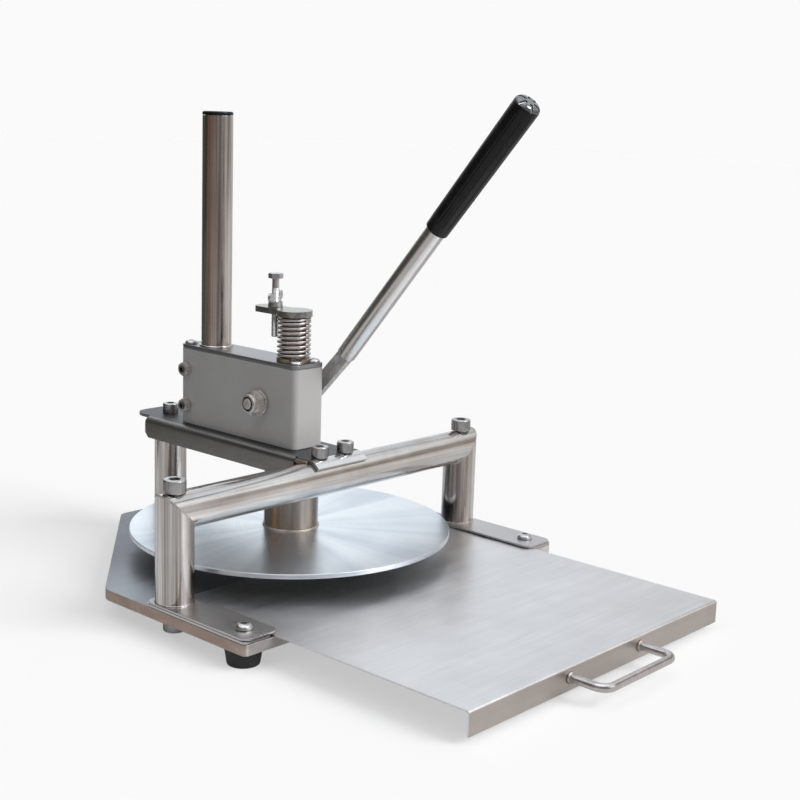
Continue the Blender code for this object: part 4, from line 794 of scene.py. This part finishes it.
def close_ends(piece, kind="EDGE"):
    """Fills the open ends of a drawn or wound piece and turns its faces outwards."""
    with shaping(piece, kind):
        bpy.ops.mesh.select_all(action="SELECT")
        bpy.ops.mesh.fill_holes(sides=0)
        bpy.ops.mesh.normals_make_consistent(inside=False)


def hex_piece(name, half, height):
    """Hexagon body with its upper corners turned off to a circle."""
    reach = half / HEX_SHARE
    body = pillar(name, reach, 0, height, sides=6)
    cone = pillar("corner_cone", reach + height, -height, height, sides=64)
    slope = 1.8
    with shaping(cone, "EDGE"):
        pick("edges", at_level(height))
        resize((half / (reach + height),) * 2 + (1,), (0, 0, height))
        pick("edges", at_level(-height))
        resize(((half + 2 * height * slope) / (reach + height),) * 2 + (1,), (0, 0, -height))
    cut(body, cone, operation="INTERSECT")
    return moved(body, Matrix.Rotation(math.radians(30), 4, "Z"))


def placed(place, turn=None):
    matrix = Matrix.Translation(place)
    return matrix if turn is None else matrix @ turn


UPSIDE_DOWN = Matrix.Rotation(math.pi, 4, "X")
TO_LEFT = Matrix.Rotation(-math.pi / 2, 4, "Y")
TO_RIGHT = Matrix.Rotation(math.pi / 2, 4, "Y")


def centre_of(node):
    low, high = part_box(node)
    return (low + high) / 2


def right_end(node):
    """Middle of a node's right side."""
    spot = centre_of(node)
    spot.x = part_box(node)[1].x
    return spot


def seat(node, height, turn=None):
    """Where a screw's head, of a given height, sits in the frame."""
    low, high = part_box(node)
    spot = centre_of(node)
    spot.z = high.z - height if turn is None else low.z + height
    return node, spot, turn


def fit_screws(master, height, grip, finish, places):
    """Copies of one screw, each with its shank drawn out to the length it has in the frame."""
    for index, (node, place, turn) in enumerate(places):
        twin = another(master, f"{node}_finished", Matrix.Rotation(math.radians(17 * index), 4, "Z"))
        low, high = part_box(node)
        with shaping(twin):
            pick("faces", at_level(-grip))
            bpy.ops.transform.translate(value=(0, 0, grip - (high.z - low.z - height)))
        finished(moved(twin, placed(place, turn)), "frame", finish, node)
    bpy.data.objects.remove(master)


def screws(socket_finish, button_finish):
    """Socket screws on the portal and the bridge and under the base, button screws in the plates."""
    sides = [side for side, _ in SIDES]
    height, grip = 9 * MM, 12 * MM
    large = cap_screw("large_cap_screw", 8 * MM, height, 4 * MM, 5 * MM, grip)
    places = []
    for side in sides:
        places.append(seat(f"corner_screw_{side}", height))
        places.append(seat(f"post_bolt_{side}", height, UPSIDE_DOWN))
    places.append(seat("rear_post_bolt", height, UPSIDE_DOWN))
    fit_screws(large, height, grip, socket_finish, places)
    height, grip = 8 * MM, 9 * MM
    small = cap_screw("small_cap_screw", 6.5 * MM, height, 3 * MM, 4 * MM, grip)
    places = [seat(f"bridge_screw_{row}", height) for row in ("left", "right", "rear")]
    fit_screws(small, height, grip, socket_finish, places)
    height, grip = 3.6 * MM, 6 * MM
    guide = button_screw("guide_button", 6 * MM, height, 2 * MM, 3 * MM, grip)
    fit_screws(guide, height, grip, button_finish, [seat(f"guide_screw_{side}", height) for side in sides])
    height, grip = 2.6 * MM, 2.5 * MM
    cover = button_screw("cover_button", 5.2 * MM, height, 1.5 * MM, 2.5 * MM, grip)
    places = [seat(f"cover_screw_{row}_{side}", height) for row in ("front", "rear") for side in sides]
    fit_screws(cover, height, grip, button_finish, places)


def clamp_nuts(nut_finish, stud_finish):
    """Nuts that lock the two set screws in the head's side, whose dark ends show in them."""
    nut = hex_piece("clamp_nut", 5 * MM, 5 * MM)
    cut(nut, pillar("bore_tool", 3.1 * MM, -MM, 6 * MM, sides=48))
    ease(nut, 0.15 * MM)
    for row in ("lower", "upper"):
        node = f"clamp_washer_{row}"
        spot = right_end(node)
        finished(another(nut, f"{node}_finished", placed(spot, TO_LEFT)), "frame", nut_finish, node)
        node = f"clamp_screw_{row}"
        end = spot.x - 6.2 * MM
        stud = level_bar(f"{node}_finished", 2.95 * MM, end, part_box(node)[1].x, spot)
        cut(stud, level_bar("socket_tool", 1.75 * MM, end - MM, end + 2.5 * MM, spot, 6))
        ease(stud, 0.35 * MM)
        finished(stud, "frame", stud_finish, node)
    bpy.data.objects.remove(nut)


def washer(name, radius, bore, thickness, sides=64):
    """Flat ring with eased edges."""
    ring = pillar(name, radius, 0, thickness, sides=sides)
    cut(ring, pillar("bore_tool", bore, -MM, thickness + MM, sides=sides))
    return ease(ring, 0.2 * MM)


def axle_washer(finish):
    large = washer("large_washer", 10.7 * MM, 5.3 * MM, 2 * MM, 96)
    moved(large, placed(right_end("axle_washer"), TO_LEFT))
    finished(large, "frame", finish, "axle_washer")


def axle(finish, ring_finish):
    """Lock nut with its nylon ring, and the bolt whose thread shows in it."""
    spot = right_end("axle_nut")
    nut = hex_piece("axle_lock_nut", 8.5 * MM, 6.5 * MM)
    collar = pillar("nut_collar", 7.6 * MM, 6.3 * MM, 9.5 * MM, sides=64)
    round_rim(collar, 9.5 * MM, 1.1 * MM, 5)
    cut(nut, collar, operation="UNION")
    cut(nut, pillar("bore_tool", 4.6 * MM, -MM, 12 * MM, sides=48))
    cut(nut, pillar("insert_room", 5.75 * MM, 7.9 * MM, 12 * MM, sides=48))
    ease(nut, 0.15 * MM)
    finished(moved(nut, placed(spot, TO_LEFT)), "frame", finish, "axle_nut")
    insert = washer("axle_nut_insert", 5.7 * MM, 4.45 * MM, 1.6 * MM)
    moved(insert, placed(spot, TO_LEFT) @ Matrix.Translation((0, 0, 7.85 * MM)))
    finished(insert, "frame", ring_finish)
    low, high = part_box("axle_bolt")
    head = hex_piece("axle_bolt_finished", 8.5 * MM, 6.4 * MM)
    moved(head, placed((high.x - 6.4 * MM, spot.y, spot.z), TO_RIGHT))
    shank = level_bar("axle_shank", 4.15 * MM, low.x + 1.6 * MM, high.x - 5 * MM, spot)
    ease(shank, 0.6 * MM, 3)
    ridge = thread("axle_thread", 4.4 * MM, 1.25 * MM, 2.6 * MM, 8)
    moved(ridge, placed((low.x, spot.y, spot.z), TO_RIGHT))
    finished(merge(head, shank, ridge), "frame", finish, "axle_bolt")


# Base, feet and tray


def base_slab(top_finish, edge_finish):
    low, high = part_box("base_plate")
    slab = block_stock("base_slab", low, high)
    shoulder, rear_half, corner = 16.5 * MM, 42 * MM, 4 * MM
    with shaping(slab, "EDGE"):
        for _, side in SIDES:
            run = Vector((side * (rear_half - high.x), high.y - shoulder, 0))
            outwards = Vector((side * run.y, -side * run.x, 0))
            slice_off((side * high.x, shoulder, 0), outwards)
        pick("edges", upright)
        bevel(corner, 6)
    ease(slab, 0.45 * MM)
    coat_faces(slab, 1, lambda face: abs(face.normal.z) < 0.5)
    finished(slab, "frame", [top_finish, edge_finish], "base_plate")


def rubber_feet(finish):
    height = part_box("foot_front_left")[1].z
    foot = pillar("rubber_foot", 13 * MM, 0, height, sides=64)
    with shaping(foot, "EDGE"):
        pick("edges", at_level(0))
        resize((11 / 13, 11 / 13, 1), (0, 0, 0))
        bevel(1 * MM, 4)
    round_rim(foot, height, 0.5 * MM, 2)
    step_out(foot, -Z, 3 * MM, 6.9 * MM)
    for row in ("front", "rear"):
        for side, _ in SIDES:
            node = f"foot_{row}_{side}"
            spot = centre_of(node)
            twin = another(foot, f"{node}_finished", placed((spot.x, spot.y, 0)))
            finished(twin, "frame", finish, node)
    bpy.data.objects.remove(foot)


def guide_strips(finish):
    """Strips that hold the tray down; the spacers under them keep their CAD shape."""
    for side, _ in SIDES:
        node = f"tray_guide_{side}"
        strip = block_stock(f"guide_strip_{side}", *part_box(node))
        round_corners(strip, 7 * MM, 8)
        ease(strip, 0.3 * MM)
        finished(strip, "frame", finish, node)
        frame["nodes"][f"tray_spacer_{side}"].data.materials[0] = finish.material


def tray_sheet(finish, flange_finish_painted_shade):
    """A sheet whose rear corners are rounded and whose front edge is folded down."""
    low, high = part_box("tray")
    thickness, fold, corner = 1.2 * MM, 1.8 * MM, 8 * MM
    front, level = low.y + fold, high.z - fold
    clear_bench()
    bpy.ops.mesh.primitive_plane_add(size=1, location=(0, (high.y + front) / 2, high.z))
    bpy.context.object.scale = (high.x - low.x, high.y - front, 1)
    sheet = named("tray_sheet")
    with shaping(sheet, "VERT"):
        pick("verts", lambda vert: vert.co.y > high.y - MM)
        bpy.ops.mesh.bevel(offset=corner, segments=8, affect="VERTICES")
    with shaping(sheet, "EDGE"):
        pick("edges", at_level(front, axis=1))
        bpy.ops.mesh.spin(steps=6, angle=-math.pi / 2, center=(0, front, level), axis=(1, 0, 0))
        draw_out((0, 0, low.z - level))
        bpy.ops.mesh.select_all(action="SELECT")
        bpy.ops.mesh.normals_make_consistent(inside=False)
    take(sheet)
    if sheet.data.polygons[0].normal.z < 0:
        sheet.data.flip_normals()
    apply(sheet, "SOLIDIFY", thickness=thickness, offset=-1.0, use_even_offset=True)
    ease(sheet, 0.25 * MM)
    # The folded front takes the darker painted-shade finish.
    coat_faces(sheet, 1, lambda face: face.normal.y < -0.8 and face.center.y < low.y + 2 * MM)
    finished(sheet, "tray", [finish, flange_finish_painted_shade], "tray")


def tray_handle(finish, weld_finish):
    """Rod drawn along a U, with a small weld bead round each root."""
    low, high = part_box("tray_handle")
    radius, fold = 3 * MM, 8 * MM
    level, right = (low.z + high.z) / 2, high.x - radius
    bend = low.y + radius + fold
    clear_bench()
    place, facing = (right, high.y, level), (math.pi / 2, 0, 0)
    bpy.ops.mesh.primitive_circle_add(vertices=32, radius=radius, location=place, rotation=facing)
    rod = named("tray_handle_rod")
    with shaping(rod, "EDGE"):
        bpy.ops.mesh.select_all(action="SELECT")
        draw_out((0, bend - high.y, 0))
        runs = ((right - fold, (2 * (fold - right), 0, 0)), (fold - right, (0, high.y - bend, 0)))
        for side, run in runs:
            bpy.ops.mesh.spin(steps=12, angle=math.pi / 2, center=(side, bend, level), axis=(0, 0, 1))
            draw_out(run)
        bpy.ops.mesh.select_all(action="SELECT")
        bpy.ops.mesh.remove_doubles(threshold=0.005 * MM)
    close_ends(rod)
    finished(rod, "tray", finish, "tray_handle", smooth=50)
    tip = high.y - 1.3 * MM
    for side, way in SIDES:
        root = way * right
        bead = bar_stock(f"handle_weld_{side}", 4.1 * MM, (root, high.y, level), (root, tip, level), 48)
        round_rim(bead, tip, 1.0 * MM, 4, axis=1)
        finished(bead, "tray", weld_finish)


# Portal, bridge and head


def portal(post_finish, bar_finish, weld_finish):
    """Front posts and crossbar, mitred at the corners with the ground weld between, and the rear post."""
    low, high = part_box("crossbar")
    radius = (high.y - low.y) / 2
    top = high.z + radius
    level = Vector((0, (high.y + low.y) / 2, high.z - radius))
    for side, way in SIDES:
        node = f"front_post_{side}"
        spot = centre_of(node)
        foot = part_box(node)[0].z
        corner = Vector((spot.x, spot.y, level.z))
        outwards = Vector((-way, 0, 1))
        post = pillar(f"post_{side}", radius, foot, top, spot.xy)
        with shaping(post):
            slice_off(corner, outwards)
        ease(post, 0.25 * MM)
        finished(post, "frame", post_finish, node)
        seam = pillar(f"corner_weld_{side}", radius + 0.12 * MM, foot, top, spot.xy)
        with shaping(seam):
            slice_off(corner + outwards * 0.3 * MM, outwards)
            slice_off(corner - outwards * 0.5 * MM, -outwards)
        ease(seam, 0.1 * MM)
        finished(seam, "frame", weld_finish)
        crest = foot + 0.6 * MM
        bead = pillar(f"post_foot_weld_{side}", radius + 0.4 * MM, foot - 0.3 * MM, crest, spot.xy)
        round_rim(bead, crest, 0.7 * MM, 3)
        finished(bead, "frame", post_finish)
    bar = level_bar("crossbar_tube", radius, low.x - MM, high.x + MM, level, 96)
    left = centre_of("front_post_left").x
    with shaping(bar):
        for _, way in SIDES:
            slice_off((left * -way, level.y, level.z), (way, 0, -1))
    ease(bar, 0.25 * MM)
    finished(bar, "frame", bar_finish, "crossbar")
    low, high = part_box("rear_post")
    rear = pillar("rear_post_tube", radius, low.z, high.z, (0, centre_of("rear_post").y))
    ease(rear, 0.5 * MM)
    finished(rear, "frame", post_finish, "rear_post")


def bridge(finish, lip_finish_painted_highlight, top_finish, weld_finish):
    """Folded channel: its tongues, sides and lip as in the frame, with eased edges and a weld bead."""
    channel = from_frame("bridge_channel", "bridge_folded")
    ease(channel, 0.3 * MM, angle=50)
    low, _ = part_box("bridge_channel")
    lip = low.y + 14 * MM
    # Lip faces: polished, with a painted highlight in their lighter colour.
    coat_faces(channel, 1, lambda face: face.center.y < lip and -0.999 < face.normal.y < -0.04)
    # Upward faces take the painted shade finish.
    coat_faces(channel, 2, lambda face: face.normal.z > 0.99)
    finished(channel, "frame", [finish, lip_finish_painted_highlight, top_finish], "bridge_channel", smooth=30)
    side = low.x + 1 * MM
    rear, front = (side, -32 * MM, 101.5 * MM), (side, -45 * MM, 101.8 * MM)
    bead = bar_stock("bridge_weld", 1.6 * MM, rear, front, 24)
    ease(bead, 0.8 * MM, 3)
    finished(bead, "frame", weld_finish)


def head(paint, cover_finish, bronze):
    """Folded housing with its cover, and the bush in the cover, scalloped to clear two screws."""
    corner = 5 * MM
    head_housing(paint, corner)
    head_cover(cover_finish, corner)
    guide_bush(bronze)


def head_housing(paint, corner):
    low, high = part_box("head_housing")
    wall, room = 2.5 * MM, 4 * MM
    axle_spot = centre_of("axle_nut")
    housing = block_stock("painted_housing", low, high)
    round_corners(housing, corner, 10)
    with shaping(housing):
        pick("faces", lambda face: abs(face.normal.z) > 0.99)
        bpy.ops.mesh.delete(type="FACE")
    apply(housing, "SOLIDIFY", thickness=wall, offset=-1.0, use_even_offset=True)
    left, right = (low.x - room, low.x + room), (high.x - room, high.x + room)
    tools = [
        level_bar("axle_hole", 5.3 * MM, *left, axle_spot),
        level_bar("sleeve_hole", 9.3 * MM, *right, axle_spot, 64),
    ]
    for row in ("lower", "upper"):
        tools.append(level_bar("clamp_hole", 3.2 * MM, *left, centre_of(f"clamp_screw_{row}"), 32))
    cut(housing, *tools)
    ease(housing, 0.35 * MM, 3)
    finished(housing, "frame", paint, "head_housing")


def head_cover(finish, corner):
    low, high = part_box("head_cover")
    cover = block_stock("cover_plate", low, high)
    round_corners(cover, corner, 10)
    below, above = low.z - MM, high.z + MM
    pole_place = (0, centre_of("brace_pole").y)
    cut(
        cover,
        pillar("bush_hole", 11.7 * MM, below, above, sides=64),
        pillar("pole_hole", 12.5 * MM, below, above, pole_place, 64),
    )
    ease(cover, 0.5 * MM, 3)
    finished(cover, "frame", finish, "head_cover")


def guide_bush(finish):
    low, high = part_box("guide_bush")
    seat_level = high.z - 2.9 * MM
    bush = pillar("bush_flange", 13.2 * MM, seat_level, high.z)
    step_out(bush, -Z, 1.8 * MM, low.z - seat_level)
    tools = [pillar("bush_bore", 9.8 * MM, low.z - MM, high.z + MM, sides=64)]
    for side, _ in SIDES:
        spot = centre_of(f"cover_screw_front_{side}")
        tools.append(pillar("screw_room", 5.5 * MM, seat_level - MM, high.z + MM, spot.xy, 48))
    cut(bush, *tools)
    ease(bush, 0.3 * MM)
    finished(bush, "frame", finish, "guide_bush")


def pole(finish, cap_finish):
    """Tube with a weld bead on the cover, and its plastic end cap."""
    low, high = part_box("brace_pole")
    place = (0, centre_of("brace_pole").y)
    radius, wall, bead_height, rim = 12.2 * MM, 2 * MM, 1.5 * MM, 3 * MM
    tube = pillar("brace_pole_tube", radius, low.z, high.z, place)
    cut(tube, pillar("pole_bore", radius - wall, low.z - MM, high.z + MM, place))
    ease(tube, 0.2 * MM)
    finished(tube, "frame", finish, "brace_pole")
    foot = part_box("head_cover")[1].z
    bead = pillar("pole_weld", radius + 1.5 * MM, foot, foot + bead_height, place)
    round_rim(bead, foot + bead_height, 1.3 * MM, 5)
    finished(bead, "frame", finish)
    low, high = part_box("pole_cap")
    cap = pillar("pole_end_cap", radius, high.z - rim, high.z, place)
    round_rim(cap, high.z, 1.4 * MM, 5)
    step_out(cap, -Z, 2.3 * MM, low.z - high.z + rim)
    finished(cap, "frame", cap_finish, "pole_cap")


# Ram, spring and depth stop


def disc(finish, under_finish_painted_shade):
    low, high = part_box("press_disc")
    plate = pillar("pressing_disc", high.x, low.z, high.z, sides=256)
    ease(plate, 0.5 * MM, 3)
    # The underside takes the painted shade finish.
    coat_faces(plate, 1, looking(-Z))
    finished(plate, "ram", [finish, under_finish_painted_shade], "press_disc", smooth=40)


def hub(finish, weld_finish):
    """Hollow collar with a weld bead round its foot."""
    low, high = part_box("ram_hub")
    rim, floor = 1.2 * MM, 6 * MM
    collar = pillar("hub_collar", high.x, low.z, high.z, sides=128)
    round_rim(collar, high.z, rim, 4)
    step_out(collar, Z, high.x - rim - 9.8 * MM, low.z + floor - high.z)
    ease(collar, 0.3 * MM)
    finished(collar, "ram", finish, "ram_hub")
    crest = low.z + 0.9 * MM
    bead = pillar("hub_weld", high.x + 1.1 * MM, low.z - 0.3 * MM, crest, sides=128)
    round_rim(bead, crest, 0.9 * MM, 4)
    finished(bead, "ram", weld_finish)


def ram(finish):
    shaft = from_frame("ram_shaft", "ram_ground_shaft")
    finished(shaft, "ram", finish, "ram_shaft", smooth=25)


def spring(finish):
    """Return spring: one helix of round wire whose end turns close up and lie flat."""
    low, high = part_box("return_spring")
    wire, radius, stroke = 1.0 * MM, 12.2 * MM, 13.5 * MM
    turns, steps = 9, 48
    bottom, top = low.z + wire, high.z - wire
    clear_bench()
    place, facing = (radius, 0, bottom), (math.pi / 2, 0, 0)
    bpy.ops.mesh.primitive_circle_add(vertices=16, radius=wire, location=place, rotation=facing)
    coil = wound(named("return_spring_coil"), (top - bottom) / turns, turns, steps, merged=False)
    rise = (top - bottom) / (turns * steps)
    close = 2.15 * wire / steps
    free = (top - bottom - 2 * close * steps) / ((turns - 2) * steps)
    for vertex in coil.data.vertices:
        turn = math.atan2(vertex.co.y, vertex.co.x) % math.tau / math.tau
        count = round((vertex.co.z - bottom) / rise / steps - turn) * steps + turn * steps
        lifted = min(count, steps) * close
        lifted += max(0, min(count, (turns - 1) * steps) - steps) * free
        lifted += max(0, count - (turns - 1) * steps) * close
        vertex.co.z += lifted - count * rise
    close_ends(coil)
    finished(coil, "ram", finish, "return_spring", smooth=60)
    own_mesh(coil)


def cap_plate(finish):
    """Round plate on the ram with an arm for the stop bolt."""
    low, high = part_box("cap_plate")
    half, hole = 8.5 * MM, centre_of("stop_bolt").y
    tip = high.y - half
    plate = pillar("cap_plate_disc", high.x, low.z, high.z)
    arm = block_stock("cap_arm", Vector((-half, 0, low.z)), Vector((half, tip, high.z)))
    cut(arm, pillar("cap_tip", half, low.z, high.z, (0, tip), 64), operation="UNION")
    cut(plate, arm, operation="UNION")
    cut(plate, pillar("thread_room", 3.3 * MM, low.z - MM, high.z + MM, (0, hole), 48))
    ease(plate, 0.5 * MM, 3, angle=50)
    finished(plate, "ram", finish, "cap_plate", smooth=30)


def depth_stop(finish, nut_finish):
    """Stop bolt with its thread, and the wing nut on it."""
    low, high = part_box("stop_bolt")
    spot = centre_of("stop_bolt")
    head_height, pitch = 4 * MM, 1.0 * MM
    bolt = hex_piece("stop_bolt_finished", 5 * MM, head_height)
    moved(bolt, placed((spot.x, spot.y, high.z - head_height), Matrix.Rotation(math.radians(17), 4, "Z")))
    shank = pillar("stop_shank", 2.75 * MM, low.z, high.z - 3 * MM, spot.xy, 48)
    ease(shank, 0.5 * MM)
    turns = int((high.z - low.z - 12 * MM) / pitch)
    ridge = thread("stop_thread", 2.95 * MM, pitch, 0.8 * MM, turns)
    moved(ridge, placed((spot.x, spot.y, low.z)))
    finished(merge(bolt, shank, ridge), "stop_bolt", finish, "stop_bolt")
    nut = from_frame("wing_nut", "wing_nut_finished")
    ease(nut, 0.6 * MM, 3, angle=50)
    finished(nut, "wing_nut", nut_finish, "wing_nut", smooth=40)


# Lever


def lever(steel, bar_finish, plain, grip_finish, end_finish):
    """Bar, tube and grip, at the angle of the raised lever."""
    way = Vector((0, -math.cos(LEVER_ANGLE), math.sin(LEVER_ANGLE)))
    low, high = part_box("lever_tube")
    joint = Vector(((low.x + high.x) / 2, -32.7 * MM, 176.8 * MM))
    radius, length, grip_length = 7.5 * MM, 253 * MM, 119 * MM
    start = joint + way * 0.75 * MM
    tube = bar_stock("lever_drawn_tube", radius, start, joint + way * (length - 6 * MM), 64)
    cut(tube, bar_stock("tube_bore", radius - 1.5 * MM, start - way * MM, joint + way * length, 64))
    ease(tube, 0.3 * MM)
    finished(tube, "lever", steel, "lever_tube")

    bar = from_frame("lever_bar", "lever_flat_bar")
    ease(bar, 0.5 * MM, 3, angle=50)
    finished(bar, "lever", bar_finish, "lever_bar", smooth=30)
    finger = from_frame("rocker", "rocker_machined")
    ease(finger, 0.3 * MM, angle=50)
    finished(finger, "lever", plain, "rocker", smooth=30)

    grip = hand_grip(grip_length)
    coat_faces(grip, 1, lambda face: face.center.z > grip_length - 5 * MM and face.normal.z > 0.3)
    turn = Z.rotation_difference(way).to_matrix().to_4x4()
    moved(grip, Matrix.Translation(joint + way * (length - grip_length)) @ turn)
    finished(grip, "lever", [grip_finish, end_finish], "lever_grip")


def hand_grip(length):
    """Tapered grip that stands on the origin, fluted along its side and notched across its end."""
    start_radius, end_radius = 8.9 * MM, 9.9 * MM
    grip = pillar("lever_hand_grip", start_radius, 0, length)
    with shaping(grip, "EDGE"):
        pick("edges", at_level(length))
        resize((end_radius / start_radius,) * 2 + (1,), (0, 0, length))
        bevel(4.5 * MM, 8)
        pick("edges", at_level(0))
        bevel(0.8 * MM, 3)
    notch = (3.2 * MM, 0, length + 0.2 * MM), (14 * MM, 0, length - 3.2 * MM)
    flute = (start_radius + 0.5 * MM, 0, 9 * MM), (end_radius + 0.5 * MM, 0, length - 8 * MM)
    tools = []
    for name, radius, run, sides, count, start in (
        ("notch_tool", 1.1 * MM, notch, 24, 6, 0),
        ("flute_tool", 0.9 * MM, flute, 16, 12, 0.5),
    ):
        for index in range(count):
            turn = Matrix.Rotation(math.tau * (index + start) / count, 4, "Z")
            tools.append(moved(bar_stock(name, radius, *run, sides), turn))
    cut(grip, *tools)
    cut(grip, pillar("grip_bore", 7.8 * MM, -MM, length - 5 * MM, sides=64))
    return ease(grip, 0.25 * MM, angle=50)


# Studio


def world_light():
    """Even daylight for matt surfaces; metal and the camera see the pale background."""
    world = bpy.data.worlds.new("studio")
    bpy.context.scene.world = world
    world.use_nodes = True
    tree = world.node_tree
    path = tree.nodes.new("ShaderNodeLightPath")
    shown, passed, mirrored = (
        Field(tree, path.outputs[f"Is {kind} Ray"]) for kind in ("Camera", "Transmission", "Glossy")
    )
    background = tree.nodes["Background"]
    background.inputs["Strength"].default_value = 1.0
    seen = shown.math("MAXIMUM", shown, passed)
    colour = mix_colour(tree, mirrored, WORLD_LIGHT, WORLD_MIRRORED)
    plug(tree, background.inputs["Color"], mix_colour(tree, seen, colour, (BACKDROP,) * 3))


def pale_floor():
    """Wide floor that takes the shadow; what the lamps leave short of the backdrop glows for the camera."""
    clear_bench()
    bpy.ops.mesh.primitive_plane_add(size=30, location=(0, 0, 0))
    floor = named("studio_floor")
    finish = Finish("pale_floor", None, (FLOOR_TONE,) * 3, 0.9, specular_ior_level=0.0)
    path = finish.node("LightPath")
    mirrored = finish.node("LightPath", output=3)
    passed = finish.node("LightPath", output=6)
    glow = path.math("MAXIMUM", path, passed) * FLOOR_GLOW + mirrored * FLOOR_MIRRORED
    finish.feed("Emission Color", (1, 1, 1, 1))
    finish.feed("Emission Strength", glow)
    floor.data.materials.append(finish.material)


def lamps():
    for name, heading, height, strength, spread, tint in LAMPS:
        lamp = bpy.data.lights.new(name, "SUN")
        lamp.energy = strength
        lamp.angle = math.radians(spread)
        lamp.color = tint
        light = bpy.data.objects.new(name, lamp)
        bpy.context.scene.collection.objects.link(light)
        turn, rise = math.radians(heading), math.radians(height)
        towards = Vector((math.cos(turn) * math.cos(rise), math.sin(turn) * math.cos(rise), math.sin(rise)))
        light.rotation_euler = towards.to_track_quat("Z", "Y").to_euler()


def only_mirrored(card, colour, finish):
    """A glowing card that polished metal shows, and that neither lights nor shades anything."""
    finish.feed("Emission Color", colour)
    finish.feed("Emission Strength", 1.0)
    card.data.materials.append(finish.material)
    card.visible_camera = False
    card.visible_diffuse = False
    card.visible_shadow = False
    card.visible_transmission = False


def dark_finish(name):
    """Black and without a sheen, for cards that only glow."""
    return Finish(name, None, (0, 0, 0), 1.0, specular_ior_level=0.0)


def surround():
    """Open ring of studio walls, lighter and darker by turns, for the polished tubes to show."""
    clear_bench()
    shape = {"vertices": 96, "radius": RING_RADIUS, "depth": RING_HEIGHT, "end_fill_type": "NOTHING"}
    bpy.ops.mesh.primitive_cylinder_add(location=(0, 0, RING_HEIGHT / 2), **shape)
    ring = named("studio_ring")
    finish = dark_finish("studio_ring")
    turn = finish.bearing() / math.tau
    share = turn.math("FRACT", turn + 1.0)
    height = finish.along("z")
    front = share.above(295 / 360, 305 / 360) * (1 - share.above(350 / 360, 358 / 360))
    middle_band = height.above(0.20, 0.27) * (1 - height.above(0.46, 0.56))
    upper_band = height.above(0.50, 0.62)
    tone = finish.ramp(share, [(place / 360, colour) for place, colour in RING_TONES])
    tone = finish.blend(front * middle_band, tone, RING_FRONT_MIDDLE)
    only_mirrored(ring, finish.blend(front * upper_band, tone, RING_FRONT_TOP), finish)


def flags():
    """Dark cards close to the press."""
    for name, place, facing, size, tone in FLAGS:
        clear_bench()
        turn = Vector(facing).to_track_quat("Z", "Y").to_euler()
        bpy.ops.mesh.primitive_plane_add(size=1, location=place, rotation=turn)
        bpy.context.object.scale = (*size, 1)
        only_mirrored(named(name), (*tone, 1.0), dark_finish(name))


def studio():
    world_light()
    pale_floor()
    lamps()
    surround()
    flags()


def camera():
    """Camera at the photograph's place and angle."""
    data = bpy.data.cameras.new("photo_camera")
    data.lens = CAMERA_LENS
    data.sensor_width = CAMERA_SENSOR
    data.clip_start, data.clip_end = 0.05, 50
    item = bpy.data.objects.new("photo_camera", data)
    bpy.context.scene.collection.objects.link(item)
    level = math.cos(CAMERA_PITCH)
    ahead = Vector(
        (math.sin(CAMERA_HEADING) * level, math.cos(CAMERA_HEADING) * level, math.sin(CAMERA_PITCH))
    )
    right = ahead.cross(Z).normalized()
    up = right.cross(ahead)
    rolled_right = right * math.cos(CAMERA_ROLL) + up * math.sin(CAMERA_ROLL)
    rolled_up = up * math.cos(CAMERA_ROLL) - right * math.sin(CAMERA_ROLL)
    turn = Matrix((rolled_right, rolled_up, -ahead)).transposed().to_4x4()
    item.matrix_world = Matrix.Translation(CAMERA_PLACE) @ turn
    bpy.context.scene.camera = item


def coat_frame_nodes(nodes, finish):
    """Small or inner CAD nodes that stay as they are get their finish."""
    for node in nodes:
        frame["nodes"][node].data.materials[0] = finish.material


def build():
    camera()
    base_slab(finishes["base"], finishes["edge"])
    rubber_feet(finishes["rubber"])
    guide_strips(finishes["guide"])
    tray_sheet(finishes["tray"], finishes["flange"])
    tray_handle(finishes["handle"], finishes["weld"])
    portal(finishes["post"], finishes["crossbar"], finishes["weld"])
    bridge(finishes["bridge"], finishes["lip"], finishes["bridge_top"], finishes["tint"])
    head(finishes["paint"], finishes["cover"], finishes["bronze"])
    pole(finishes["post"], finishes["grip"])
    screws(finishes["socket"], finishes["screw"])
    clamp_nuts(finishes["nut"], finishes["stud"])
    axle_washer(finishes["nut"])
    axle(finishes["nut"], finishes["grip"])
    disc(finishes["disc"], finishes["under"])
    hub(finishes["hub"], finishes["weld"])
    ram(finishes["ram"])
    spring(finishes["spring"])
    cap_plate(finishes["cap_plate"])
    depth_stop(finishes["screw"], finishes["socket"])
    lever(finishes["lever"], finishes["bar"], finishes["cap_plate"], finishes["grip"], finishes["grip_end"])
    inner = ["pole_block", "ram_guide_block"]
    inner += [f"{row}_{side}" for row in ("front_foot_nut", "rear_foot_screw") for side, _ in SIDES]
    coat_frame_nodes(inner, finishes["hidden"])
    studio()
    bpy.context.scene.view_settings.view_transform = "Standard"


build()
